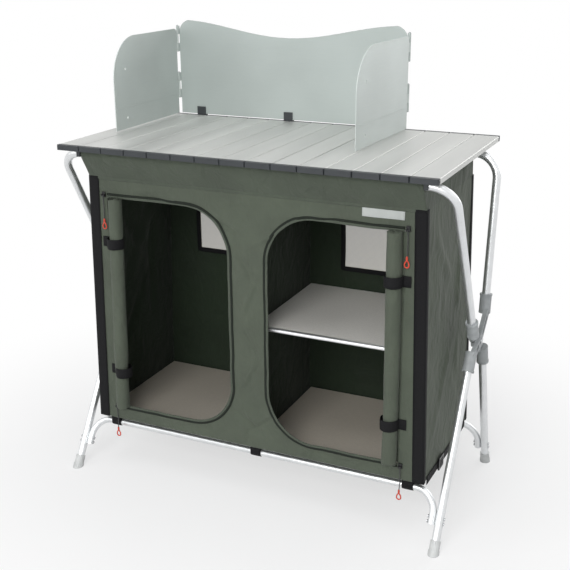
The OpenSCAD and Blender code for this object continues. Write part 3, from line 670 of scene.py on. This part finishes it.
class CABINET_OT_top(bpy.types.Operator):
    """Finishes the slatted top, its end caps, clips and the windscreen"""
    bl_idname = "cabinet.top"
    bl_label = "Top and windscreen finishes"

    def execute(self, context):
        coat("slat", "tabletop_slats")
        coat("cap", "front_end_caps", "rear_end_caps", "tabletop_clips", "rear_rest_pads",
             "windscreen_brackets")
        coat("sheet", "windscreen_back")
        coat("wing", "wing_left", "wing_right")
        coat("board", "floor_board_left", "floor_board_right")
        coat("shelf", "mid_shelf")
        coat("edge", "board_edges", "shelf_edge")
        coat("buckle", "zip_sliders", "strap_buckles")
        parts = []
        for s in ("front_end_caps", "rear_end_caps"):
            y, z = (lo(s)[1] + hi(s)[1]) / 2, (lo(s)[2] + hi(s)[2]) / 2
            x = np.linspace(lo("slat_cords")[0], hi("slat_cords")[0], 181)
            parts.append(sweep(points(x, y, z), (0, 0, 1), disc_section(0.0018)))
        piece("elastic_cords", parts, "elastic", "tabletop", "elastic", ["slat_cords"])
        return {"FINISHED"}


def door_curve(sizes, z):
    """Inner edge of a door opening at height z: straight, then a quarter circle at top and bottom."""
    r = sizes.door_radius
    dz = np.maximum(np.maximum(z - (sizes.door_top - r), (sizes.door_low + r) - z), 0)
    return sizes.door_in + r - np.sqrt(np.maximum(r * r - dz * dz, 0))


# Pulls in the front cloth: from, to, width, depth as a share of the slack.
FRONT_CREASES = (
    ((-0.36, 0.735), (-0.06, 0.690), 0.007, 1.3), ((-0.33, 0.722), (-0.17, 0.745), 0.006, -1.0),
    ((0.30, 0.722), (0.05, 0.700), 0.007, 1.2), ((0.10, 0.745), (-0.10, 0.722), 0.006, -0.9),
    ((-0.045, 0.640), (0.040, 0.520), 0.007, 1.5), ((0.042, 0.610), (-0.030, 0.430), 0.006, -1.3),
    ((-0.045, 0.480), (0.042, 0.330), 0.007, 1.4), ((0.040, 0.400), (-0.040, 0.250), 0.006, -1.2),
    ((-0.060, 0.240), (0.060, 0.150), 0.007, 1.3), ((0.080, 0.235), (-0.020, 0.160), 0.006, 1.1),
    ((-0.120, 0.700), (0.020, 0.640), 0.006, 1.2), ((0.120, 0.700), (-0.010, 0.620), 0.006, -1.2),
    ((-0.30, 0.140), (-0.06, 0.160), 0.006, 1.0), ((0.08, 0.165), (0.33, 0.142), 0.006, 1.1),
)


def front_lie(sizes):
    """Where the front wall's cloth lies: a plane with slack waves and pulls from the corners."""
    amp = sizes.front_slack

    def place(x, z):
        edge = ramp(0.372 - np.abs(x), 0.05) * ramp(SEAM - 0.004 - z, 0.03) * ramp(z - HEM, 0.025)
        w = pulled(0.7 * waves(x, z, 5, 0.17) + 0.35 * waves(x, z, 15, 0.07), x, z, FRONT_CREASES)
        seam = np.exp(-((x - 0.004) / 0.0016) ** 2)
        return points(x, Y_FRONT + sizes.cloth_thickness / 2 + 0.0006 + amp * w * edge + 0.0007 * seam, z)

    return place


class CABINET_OT_front(bpy.types.Operator):
    """Front wall of cloth with its two door openings"""
    bl_idname = "cabinet.front"
    bl_label = "Front wall"

    def execute(self, context):
        s = context.scene.cabinet_sizes
        mid = s.door_low + (s.door_top - s.door_low) * 0.5 * (1 - np.cos(np.linspace(0, np.pi, 130)))
        z = np.concatenate([np.linspace(HEM, s.door_low, 12)[:-1], mid, np.linspace(s.door_top, SEAM, 14)[1:]])
        c, w, out = door_curve(s, np.clip(z, s.door_low, s.door_top)), half_at(z), np.full_like(z, s.door_out)
        doors = [(k, s.door_low, s.door_top) for k in (1, 3)]
        grid = holed(z, [-w, -out, -c, c, out, w], [14, 48, 40, 48, 14], doors, front_lie(s))
        o = piece("front_wall", [grid], "canvas", "front", "canvas", ["front_panel"],
                  thick=s.cloth_thickness, inner=finish("inside"), out=(0, -1, 0))
        # Bound hems round the openings.
        hems = round_doors(s, 0.0, 0.0009, strap_section(0.006, 0.0026))
        piece("door_hems", hems, "band", "front")
        return {"FINISHED"}


def door_path(s, out, n=40):
    """Outline of a door opening grown by out, from its outer top corner round to its outer bottom corner."""
    r = s.door_radius + out
    x0, z0, z1 = s.door_in - out, s.door_low - out, s.door_top + out
    a = np.linspace(np.pi / 2, np.pi, n)
    top = np.stack([x0 + r + r * np.cos(a), z1 - r + r * np.sin(a)], -1)
    low = np.stack([x0 + r + r * np.cos(a + np.pi / 2), z0 + r + r * np.sin(a + np.pi / 2)], -1)
    p = np.concatenate([
        np.stack([np.linspace(s.door_out - 0.001, x0 + r, 40, endpoint=False), np.full(40, z1)], -1), top,
        np.stack([np.full(60, x0), np.linspace(z1 - r, z0 + r, 62)[1:-1]], -1), low,
        np.stack([np.linspace(x0 + r, s.door_out - 0.001, 41)[1:], np.full(40, z0)], -1)])
    return points(p[:, 0], 0.0, p[:, 1])


def round_doors(s, out, lift, section):
    """A profile carried round both openings, grown by out and lifted off the cloth."""
    parts = []
    for k in (-1, 1):
        p = door_path(s, out)
        p[:, 0] *= k
        p[:, 1] = front_lie(s)(p[:, 0], p[:, 2])[:, 1] - lift
        parts.append(sweep(p, (0, 1, 0), section))
    return parts


class CABINET_OT_zips(bpy.types.Operator):
    """Coil zips that follow the door openings"""
    bl_idname = "cabinet.zips"
    bl_label = "Zips"

    def execute(self, context):
        s = context.scene.cabinet_sizes
        # Profile across the tape: flat sides and the ridge of nylon turns.
        a = np.array([-3.4, -3.4, -1.5, -1.0, 1.0, 1.5, 3.4, 3.4]) * 0.001
        b = np.array([0.45, -0.35, -0.4, -1.0, -1.0, -0.4, -0.35, 0.45]) * 0.001
        parts = round_doors(s, 0.0046, 0.0014, np.stack([a, b], -1))
        piece("door_zips", parts, "zip", "front", "webbing", ["zip_tapes"])
        return {"FINISHED"}


REAR_CREASES = (
    ((-0.39, 0.72), (-0.05, 0.45), 0.014, 0.8), ((0.39, 0.72), (0.03, 0.43), 0.014, -0.8),
    ((-0.35, 0.17), (-0.02, 0.42), 0.014, 0.9), ((0.36, 0.17), (0.05, 0.40), 0.014, 0.8),
)
SIDE_CREASES = (
    ((-0.17, 0.74), (0.10, 0.45), 0.020, 1.0), ((0.15, 0.72), (-0.10, 0.36), 0.022, -0.9),
    ((-0.16, 0.16), (0.08, 0.50), 0.018, 0.9), ((0.14, 0.17), (-0.02, 0.42), 0.016, -0.8),
    ((-0.05, 0.74), (-0.09, 0.20), 0.012, -0.6), ((0.07, 0.72), (0.06, 0.2), 0.014, 0.6),
)
CLOTH_IN = 0.0008  # the cloth's middle lies this far inside the solids' outer face
BOARD_ROOM = 0.0026  # the side walls wave inward no further, so the boards' ends stay clear
LEDGE_REACH = 0.045  # height over which the right wall is held by the shelf's ledge
WALL_ROOM = 0.003  # the middle wall ends this far behind the front and rear walls


def side_edge(y, z, low):
    """Fades the waves of a side or middle wall to nothing at its four edges."""
    return ramp(y - Y_FRONT, 0.04) * ramp(Y_REAR - y, 0.04) * ramp(SEAM - z, 0.04) * ramp(z - HEM, low)


def rear_lie(x, z):
    """Where the rear wall's cloth lies: a plane with slow waves that sink inward."""
    edge = ramp(HALF_LOW - np.abs(x), 0.05) * ramp(SEAM - z, 0.04) * ramp(z - HEM, 0.03)
    w = pulled(waves(x, z, 8, 0.2) - 0.3, x, z, REAR_CREASES)
    return points(x, Y_REAR - CLOTH_IN + 0.003 * w * edge, z)


class CABINET_OT_sides(bpy.types.Operator):
    """Side walls of slack cloth"""
    bl_idname = "cabinet.sides"
    bl_label = "Side walls"

    def execute(self, context):
        s = context.scene.cabinet_sizes
        for name, k, seed in (("side_wall_left", -1, 21), ("side_wall_right", 1, 12)):
            def place(y, z, k=k, seed=seed):
                w = pulled(0.55 * waves(y, z * 0.6, seed, 0.16), y, z, SIDE_CREASES)
                lie = s.cloth_slack * (w - 0.2) * side_edge(y, z, 0.04)
                lie = np.where(lie < 0, BOARD_ROOM * np.tanh(lie / BOARD_ROOM), lie)
                if k > 0:
                    lie = lie * (1 - np.exp(-((z - lo("mid_shelf")[2]) / LEDGE_REACH) ** 4))
                return points(k * (half_at(z) - CLOTH_IN + lie), y, z)
            node = f"side_panel_{'left' if k < 0 else 'right'}"
            quarters(name, place, finish("canvas"), s.cloth_thickness, [node], (k, 0, 0))
        return {"FINISHED"}


class CABINET_OT_inside(bpy.types.Operator):
    """Divider and floor of cloth"""
    bl_idname = "cabinet.inside"
    bl_label = "Divider and floor"

    def execute(self, context):
        s = context.scene.cabinet_sizes

        def place(y, z):
            first = front_lie(s)(0 * z, z)[..., 1] + WALL_ROOM
            last = rear_lie(0 * z, z)[..., 1] - WALL_ROOM
            yy = first + (y - Y_FRONT) / (Y_REAR - Y_FRONT) * (last - first)
            zz = HEM + 0.002 + (z - HEM) * (SEAM - HEM - 0.004) / (SEAM - HEM)
            return points(0.0006 * waves(y, z, 3, 0.2) * side_edge(y, z, 0.03), yy, zz)

        quarters("middle_wall", place, finish("inside"), s.cloth_thickness, ["divider"], (1, 0, 0))
        a, b = lo("fabric_floor"), hi("fabric_floor")
        x, y = np.meshgrid(np.linspace(a[0], b[0], 121), np.linspace(a[1], b[1], 51), indexing="ij")
        z = np.full_like(x, (a[2] + b[2]) / 2) + 0.0003 * waves(x, y, 4)
        o = piece("floor_cloth", [lattice(points(x, y, z))], "inside", "bottom", "canvas", ["fabric_floor"],
                  thick=s.cloth_thickness)
        return {"FINISHED"}


class CABINET_OT_rear(bpy.types.Operator):
    """Rear wall of cloth with two netted windows"""
    bl_idname = "cabinet.rear"
    bl_label = "Rear wall"

    def execute(self, context):
        s = context.scene.cabinet_sizes
        a, b = lo("window_mesh"), hi("window_mesh")
        x0, x1 = 0.090, float(b[0])
        z0, z1 = float(a[2]), float(b[2])

        z = np.concatenate([np.linspace(HEM, z0, 60)[:-1], np.linspace(z0, z1, 36)[:-1],
                            np.linspace(z1, SEAM, 14)])
        one = np.ones_like(z)
        edges = [-half_at(z), -x1 * one, -x0 * one, x0 * one, x1 * one, half_at(z)]
        grid = holed(z, edges, [16, 40, 30, 40, 16], [(k, z0, z1) for k in (1, 3)], rear_lie)
        o = piece("rear_wall", [grid], "canvas", "rear", "canvas", ["rear_panel"],
                  thick=s.cloth_thickness, inner=finish("inside"), out=(0, 1, 0))
        rims = []
        for k in (-1, 1):
            xa, xb = (x0, x1) if k > 0 else (-x1, -x0)
            zz = np.linspace(z0, z1, 30)
            net = piece(f"window_net_{'right' if k > 0 else 'left'}", [patch(xa, xb, zz, 30, rear_lie)],
                        "net", "rear", "mesh", ["window_mesh"], out=(0, 1, 0))
            c = np.array([[xa, z0], [xb, z0], [xb, z1], [xa, z1], [xa, z0]])
            path = np.concatenate([np.linspace(c[i], c[i + 1], 40, endpoint=False) for i in range(4)])
            p = rear_lie(path[:, 0], path[:, 1])
            for side in (-0.0012, 0.0012):
                q = p + np.array([0, side, 0])
                rims.append(sweep(q, (0, 1, 0), strap_section(0.012, 0.0012), ring=True))
        piece("window_binding", rims, "webbing", "rear", "webbing", ["window_edging"])
        return {"FINISHED"}


def band_profile(centre, radius, foot, side, n=26):
    """Cloth sleeve round a bar and on down to the seam: an arc, then a straight run leaving it at a tangent."""
    d = np.array(foot) - centre
    a = math.atan2(d[1], d[0]) + side * math.acos(radius / np.linalg.norm(d))
    arc = a + side * np.linspace(2 * math.pi * 0.94, 0, n)
    p = centre + radius * np.stack([np.cos(arc), np.sin(arc)], -1)
    run = np.linspace(p[-1], foot, 14)[1:]
    return np.concatenate([p, run])


SLEEVE_R = 0.0106  # the band's sleeve round a top bar
UNDER_BAR_R = 0.0108  # where the side band passes under a bar
CROWN = 0.006  # rise of the side band's upper edge above the bars' middle


class CABINET_OT_band(bpy.types.Operator):
    """Band of cloth between the top bars and the walls"""
    bl_idname = "cabinet.band"
    bl_label = "Top band"

    def execute(self, context):
        s = context.scene.cabinet_sizes
        foot_z = SEAM - 0.004
        for name, bar, foot, side, where, node in (
                ("front_band", BAR_FRONT, Y_FRONT + 0.0012, -1, ROOT, "yoke_front"),
                ("rear_band", BAR_REAR, Y_REAR - 0.0012, 1, FRONT_FEET, "yoke_rear")):
            prof = band_profile(np.array([bar, BAR_Z]), SLEEVE_R, (foot, foot_z), side)
            x = np.linspace(lo(node)[0] - 0.0022, hi(node)[0] + 0.0022, 160)
            t = np.clip((BAR_Z - prof[:, 1]) / (BAR_Z - SEAM), 0, 1)
            xx, tt = np.meshgrid(x, t, indexing="ij")
            lie = 0.0016 * waves(xx, tt * 0.05, 31, 0.11) * (t * (1 - t) * 4)[None]
            p = points(xx, prof[:, 0] + lie * side, prof[:, 1])
            o = piece(name, [lattice(p)], "band", where, "canvas_band", [node], thick=s.cloth_thickness)
        for k in (-1, 1):
            t = np.linspace(0, 1, 20)[:, None]
            v = np.linspace(0, 1, 160)[None]
            first = (Y_FRONT + 0.0016) * (1 - t) + (BAR_FRONT - 0.0088) * t
            last = (Y_REAR - 0.0016) * (1 - t) + (BAR_REAR + 0.0088) * t
            y = first * (1 - v) + last * v
            # The upper edge dips under each bar.
            crown = np.full_like(y[-1], BAR_Z + CROWN)
            for bar in (BAR_FRONT, BAR_REAR):
                near = np.abs(y[-1] - bar) < UNDER_BAR_R
                crown[near] = BAR_Z - np.sqrt(np.maximum(UNDER_BAR_R ** 2 - (y[-1][near] - bar) ** 2, 0))
            z = foot_z * (1 - t) + crown[None] * t
            x = k * (HALF_TOP - 0.0012 + 0.002 * waves(y, z, 77, 0.12) * np.sin(np.pi * t))
            o = piece(f"side_band_{'right' if k > 0 else 'left'}", [lattice(points(x, y, z))], "band",
                      "top", "canvas_band", ["yoke_sides"],
                      thick=s.cloth_thickness, inner=finish("inside"), out=(k, 0, 0))
        # Doubled hem along the seam.
        x = np.linspace(-HALF_TOP, HALF_TOP, 120)
        hem = strap(x, Y_FRONT - 0.0004, SEAM - 0.003, (0, 1, 0), 0.009, 0.0016)
        piece("front_seam", [hem], "band", "front", "canvas_band")
        return {"FINISHED"}


LOOPS_X = (-0.388, 0.008, 0.388)  # the webbing loops along each lower rail
LOOP_R = 0.0091


class CABINET_OT_webbing(bpy.types.Operator):
    """Corner webbing, rail loops, side straps, shelf ledges and the blank label"""
    bl_idname = "cabinet.webbing"
    bl_label = "Webbing"

    def execute(self, context):
        s = context.scene.cabinet_sizes
        t = s.strap_thickness
        z = np.linspace(HEM, SEAM, 60)
        for where, y, out in (("front", Y_FRONT - 0.0004, -1), ("rear", Y_REAR + 0.0008, 1)):
            parts = []
            for k in (-1, 1):
                half = half_at(z)
                parts.append(strap(k * (half - 0.0125), y + out * 0.0004, z, (0, out, 0), 0.027, t))
                parts.append(strap(k * (half + 0.0008), y - out * 0.0065, z, (k, 0, 0), 0.013, t))
            piece(f"corner_webbing_{where}", parts, "webbing", where, "webbing", ["corner_webbing"])
        for name, node, body in (("front_loops", "front_rail_loops", FRONT_FEET),
                                 ("rear_loops", "rear_rail_loops", ROOT)):
            rail = "front_lower_rail" if body == FRONT_FEET else "rear_lower_rail"
            zr = hi(rail)[2] - RAIL_R
            yr = lo(node)[1] + 0.0099
            a = turn(28)
            ring = points(0, np.cos(a), np.sin(a))
            parts = []
            for x in LOOPS_X:
                parts.append(strap(x, yr + LOOP_R * ring[:, 1], zr + LOOP_R * ring[:, 2], ring, 0.026, t, ring=True))
                down = np.linspace(zr + 0.002, HEM - 0.0004, 6)
                parts.append(strap(x, yr - LOOP_R, down, (0, 1, 0), 0.026, t))
            piece(name, parts, "webbing", body, "webbing", [node])
        a, b = lo("side_straps"), hi("side_straps")
        y = np.linspace(a[1], b[1], 60)
        z = (a[2] + b[2]) / 2 - 0.003 * np.sin(np.pi * (y - a[1]) / (b[1] - a[1]))
        parts = [strap(k * (b[0] - 0.0007), y, z, (k, 0, 0), 0.020, t) for k in (-1, 1)]
        piece("side_tension_straps", parts, "webbing", "bottom", "webbing", ["side_straps"])
        a, b = lo("shelf_ledges"), hi("shelf_ledges")
        y = np.linspace(a[1], b[1], 40)
        parts = [strap(x, y, b[2] - 0.0008, (0, 0, 1), w, 0.0014)
                 for x, w in ((a[0] + 0.0129, 0.024), (b[0] - 0.0145, 0.022))]
        parts += [strap(x, y, b[2] - 0.016, (1, 0, 0), 0.028, 0.0014) for x in (a[0] + 0.0008, b[0] - 0.0012)]
        piece("shelf_ledge_webbing", parts, "webbing", ROOT, "webbing", ["shelf_ledges"])
        a, b = lo("label_patch"), hi("label_patch")
        x, z = np.meshgrid(np.linspace(a[0], b[0], 40), np.linspace(a[2], b[2], 14), indexing="ij")
        p = front_lie(s)(x, z)
        p[..., 1] -= 0.0012
        piece("blank_label", [lattice(p)], "label", "front", "label", ["label_patch"], thick=0.0009, out=(0, -1, 0))
        return {"FINISHED"}


STRAPS_Z = (0.270, 0.600)  # the straps that hold a rolled door
ROLL_TURNS, ROLL_CORE = 4.4, 0.0045


class CABINET_OT_rolls(bpy.types.Operator):
    """Rolled doors with the straps that hold them"""
    bl_idname = "cabinet.rolls"
    bl_label = "Rolled doors"

    def execute(self, context):
        s = context.scene.cabinet_sizes
        node_lo, node_hi = lo("door_roll_right"), hi("door_roll_right")
        cx = s.door_out - 0.019 - 0.002
        cy = lo("roll_straps")[1] + 0.0206
        z0, z1 = node_lo[2], node_hi[2]
        for name, k, seed in (("rolled_door_left", -1, 2), ("rolled_door_right", 1, 9)):
            z = np.linspace(z0, z1, 150)[None]
            a = np.linspace(0, 2 * np.pi * ROLL_TURNS, 210)[:, None]
            pinch = sum(np.exp(-((z - c) / 0.022) ** 2) for c in STRAPS_Z)
            r = ROLL_CORE + (s.roll_radius - 0.0008 - ROLL_CORE) * a / a.max()
            lie = waves(a * 0.01 + 0 * z, z + 0 * a, seed, 0.13)
            r = r * (1 + 0.055 * lie * (1 - 0.8 * pinch)) - 0.0012 * pinch * a / a.max() - 0.0006
            th = a - 1.9 + 0.12 * np.sin(9 * z)
            lean = (0.70 - z) / 0.53
            x = k * (cx + r * np.cos(th) + (0.006 * (2 * lean - 1) if k < 0 else 0.002 * np.sin(5 * z)))
            y = cy + r * np.sin(th) - (0.003 * lean if k < 0 else 0)
            off = z - (z0 + z1) / 2
            zz = z + 0.0015 * np.sin(3 * a + seed) * np.sign(off) * (np.abs(off) > 0.26)
            p = points(x, y, zz)
            hem = points(k * (s.door_out + 0.004), Y_FRONT + 0.0022, p[-1, :, 2])
            tail = np.linspace(0, 1, 9)[1:, None, None]
            p = np.concatenate([p, p[-1][None] * (1 - tail) + hem[None] * tail])
            node = f"door_roll_{'left' if k < 0 else 'right'}"
            o = piece(name, [lattice(p, flip=k < 0)], "canvas", "front", "roll_cloth", [node], thick=0.0009)
        parts = []
        a = turn(48)
        r = 0.0199 + 0.0003 * np.sin(3 * a)
        for k in (-1, 1):
            for c in STRAPS_Z:
                normal = points(k * np.cos(a), np.sin(a), 0)
                parts.append(strap(k * (cx + r * np.cos(a)), cy + r * np.sin(a), c, normal, 0.025, 0.0013, ring=True))
                x = np.linspace(cx + 0.0185, cx + 0.038, 8) * k
                parts.append(strap(x, Y_FRONT - 0.0011, c, (0, 1, 0), 0.025, 0.0013))
        piece("door_roll_straps", parts, "webbing", "front", "webbing", ["roll_straps"])
        return {"FINISHED"}


PULL_LENGTH = 0.060


class CABINET_OT_pulls(bpy.types.Operator):
    """Cords and red loops that hang from the zip sliders"""
    bl_idname = "cabinet.pulls"
    bl_label = "Zip pulls"

    def execute(self, context):
        for key in ("tl", "tr", "bl", "br"):
            node = f"zip_pull_{key}"
            a, b = lo(node), hi(node)
            x, y = (a[0] + b[0]) / 2, b[1] - 0.0022
            top = b[2] - 0.0022
            t = np.linspace(0, 1, 24)
            bow = 0.0012 * np.sin(np.pi * t)
            path = points(x + bow, y, top - 0.0005 - PULL_LENGTH * t)
            cord = make(f"pull_cord_{key}", [sweep(path, (0, 1, 0), disc_section(0.0011, 10))], finish("cord"))
            z = path[-1][2]
            parts = []
            rr = np.array([0.0012, 0.0021, 0.0024, 0.0024, 0.0020])
            zz = z + np.array([0.004, 0.003, 0.0, -0.004, -0.0065])
            ang = turn(14)
            g = points(x + rr[:, None] * np.cos(ang), y + rr[:, None] * np.sin(ang), zz[:, None])
            v, f, u = lattice(g, wrap=True, flip=True)
            parts.append((v, f + [tuple(range(14)), tuple(range(len(v) - 1, len(v) - 15, -1))], u))
            th = turn(36)
            wide = 0.0048 * np.sin(th) * (1 - 0.25 * np.cos(th))
            egg = points(x + wide, y, a[2] + 0.0085 + 0.0072 * np.cos(th))
            parts.append(sweep(egg, (0, 1, 0), disc_section(0.0015, 10), ring=True))
            loop = make(f"pull_loop_{key}", parts, finish("pull"))
            for o in (cord, loop):
                hang(o, f"pull_{key}")
            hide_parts(node)
        return {"FINISHED"}


def seen_ray(tree):
    """1 for a ray from the eye, from gloss or through glass."""
    path = add(tree, "ShaderNodeLightPath")
    seen = path.outputs["Is Camera Ray"]
    for ray in ("Is Glossy Ray", "Is Transmission Ray"):
        seen = add(tree, "ShaderNodeMath", [(0, seen), (1, path.outputs[ray])], operation="MAXIMUM").outputs[0]
    return seen


# Lamps: name, place, aim, width in metres, watts.
LAMPS = (
    ("key", (0.3, -3.3, 1.9), (0, 0, 0.45), 2.0, 74),
    ("left fill", (-2.6, -2.0, 1.8), (0, 0, 0.5), 2.0, 16),
    ("right fill", (2.9, -0.3, 1.9), (0, 0, 0.6), 2.0, 5),
    ("back fill", (1.7, 3.0, 1.6), (0, 0, 0.6), 2.0, 26),
    ("top", (0.2, -0.3, 3.0), (0, 0, 0.8), 2.4, 26),
)
FLOOR_HALF = 6.0
LENS, SENSOR = 62.70, 36.0  # mm
CAMERA_AT = (0.9701, -2.0631, 1.2685)
CAMERA_TURN = (25.045, 19.026, -0.406)  # azimuth, elevation and roll, degrees


class CABINET_OT_studio(bpy.types.Operator):
    """Pale floor, white surroundings, soft lamps and the camera"""
    bl_idname = "cabinet.studio"
    bl_label = "Studio"

    def execute(self, context):
        c = context.scene.cabinet_colours
        mat = bpy.data.materials.new("studio paper")
        mat.use_nodes = True
        tree = mat.node_tree
        shader = tree.nodes["Principled BSDF"]
        shader.inputs["Roughness"].default_value = 0.9
        place = in_object(tree)
        grain = noise(tree, place, Scale=4.0, Detail=2.0)
        base = (*c.backdrop, 1.0)
        shade(tree, shader, (tuple(0.98 * v for v in base[:3]) + (1.0,), base), grain)
        # Seen directly or in metal, the paper fades to plain white away from the cabinet and keeps its shadow near it.
        away = add(tree, "ShaderNodeVectorMath", [(0, place)], operation="LENGTH").outputs["Value"]
        fade = add(tree, "ShaderNodeMapRange", [("Value", away)], interpolation_type="SMOOTHSTEP",
                   From_Min=0.4, From_Max=1.3, To_Min=0.6, To_Max=1.0)
        seen = seen_ray(tree)
        much = add(tree, "ShaderNodeMath", [(0, fade.outputs[0]), (1, seen)], operation="MULTIPLY")
        white = add(tree, "ShaderNodeEmission", Color=(1, 1, 1, 1), Strength=1.0)
        blend = add(tree, "ShaderNodeMixShader", [(0, much.outputs[0]), (1, shader.outputs[0]), (2, white.outputs[0])])
        tree.links.new(blend.outputs[0], tree.nodes["Material Output"].inputs["Surface"])
        square = FLOOR_HALF * np.array([[-1, -1, 0], [1, -1, 0], [1, 1, 0], [-1, 1, 0]])
        floor = make("studio_floor", [(square, [(0, 1, 2, 3)], np.zeros((4, 2)))], mat, smooth=False)
        world = bpy.data.worlds.new("studio")
        context.scene.world = world
        world.use_nodes = True
        wt = world.node_tree
        back = wt.nodes["Background"]
        back.inputs["Color"].default_value = (0.93, 0.94, 0.97, 1)
        back.inputs["Strength"].default_value = 0.3
        paper = add(wt, "ShaderNodeBackground", Color=(1, 1, 1, 1), Strength=1.0)
        mix = add(wt, "ShaderNodeMixShader", [(0, seen_ray(wt)), (1, back.outputs[0]), (2, paper.outputs[0])])
        wt.links.new(mix.outputs[0], wt.nodes["World Output"].inputs["Surface"])
        for name, place, aim, width, power in LAMPS:
            lamp = bpy.data.lights.new(name, "AREA")
            lamp.shape = "SQUARE"
            lamp.size = width
            lamp.energy = power
            o = bpy.data.objects.new(name, lamp)
            d = np.array(place) - np.array(aim)
            az, el = math.atan2(d[0], -d[1]), math.atan2(d[2], math.hypot(d[0], d[1]))
            o.location = place
            o.rotation_euler = (math.pi / 2 - el, 0, az)
            context.scene.collection.objects.link(o)
        context.scene.view_settings.view_transform = "Standard"
        cam = bpy.data.cameras.new("camera")
        cam.lens, cam.sensor_width = LENS, SENSOR
        o = bpy.data.objects.new("camera", cam)
        o.location = CAMERA_AT
        o.rotation_mode = "XYZ"
        az, el, roll = (math.radians(d) for d in CAMERA_TURN)
        tilt = Matrix.Rotation(math.pi / 2 - el, 3, "X") @ Matrix.Rotation(roll, 3, "Z")
        look = Matrix.Rotation(az, 3, "Z") @ tilt
        o.rotation_euler = look.to_euler("XYZ")
        context.scene.collection.objects.link(o)
        context.scene.camera = o
        return {"FINISHED"}


OPERATORS = (CABINET_OT_studio, CABINET_OT_pulls, CABINET_OT_metal, CABINET_OT_top, CABINET_OT_front,
             CABINET_OT_zips, CABINET_OT_sides, CABINET_OT_inside, CABINET_OT_rear, CABINET_OT_band,
             CABINET_OT_webbing, CABINET_OT_rolls)
STEPS = [c.bl_idname.split(".")[1] for c in OPERATORS]


class CABINET_PT_panel(bpy.types.Panel):
    """Lists the cabinet's pieces"""
    bl_idname = "CABINET_PT_panel"
    bl_label = "Camp kitchen cabinet"
    bl_space_type = "VIEW_3D"
    bl_region_type = "UI"
    bl_category = "Cabinet"

    def draw(self, context):
        for step in STEPS:
            self.layout.operator(f"cabinet.{step}")
        for group in (context.scene.cabinet_sizes, context.scene.cabinet_colours):
            for key in group.__annotations__:
                self.layout.prop(group, key)


CLASSES = (CabinetSizes, CabinetColours) + OPERATORS + (CABINET_PT_panel,)


def register():
    for c in CLASSES:
        bpy.utils.register_class(c)
    bpy.types.Scene.cabinet_sizes = PointerProperty(type=CabinetSizes)
    bpy.types.Scene.cabinet_colours = PointerProperty(type=CabinetColours)


def unregister():
    del bpy.types.Scene.cabinet_colours
    del bpy.types.Scene.cabinet_sizes
    for c in reversed(CLASSES):
        bpy.utils.unregister_class(c)


def main():
    """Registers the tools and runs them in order."""
    register()
    for step in STEPS:
        getattr(bpy.ops.cabinet, step)()


if __name__ == "__main__":
    main()
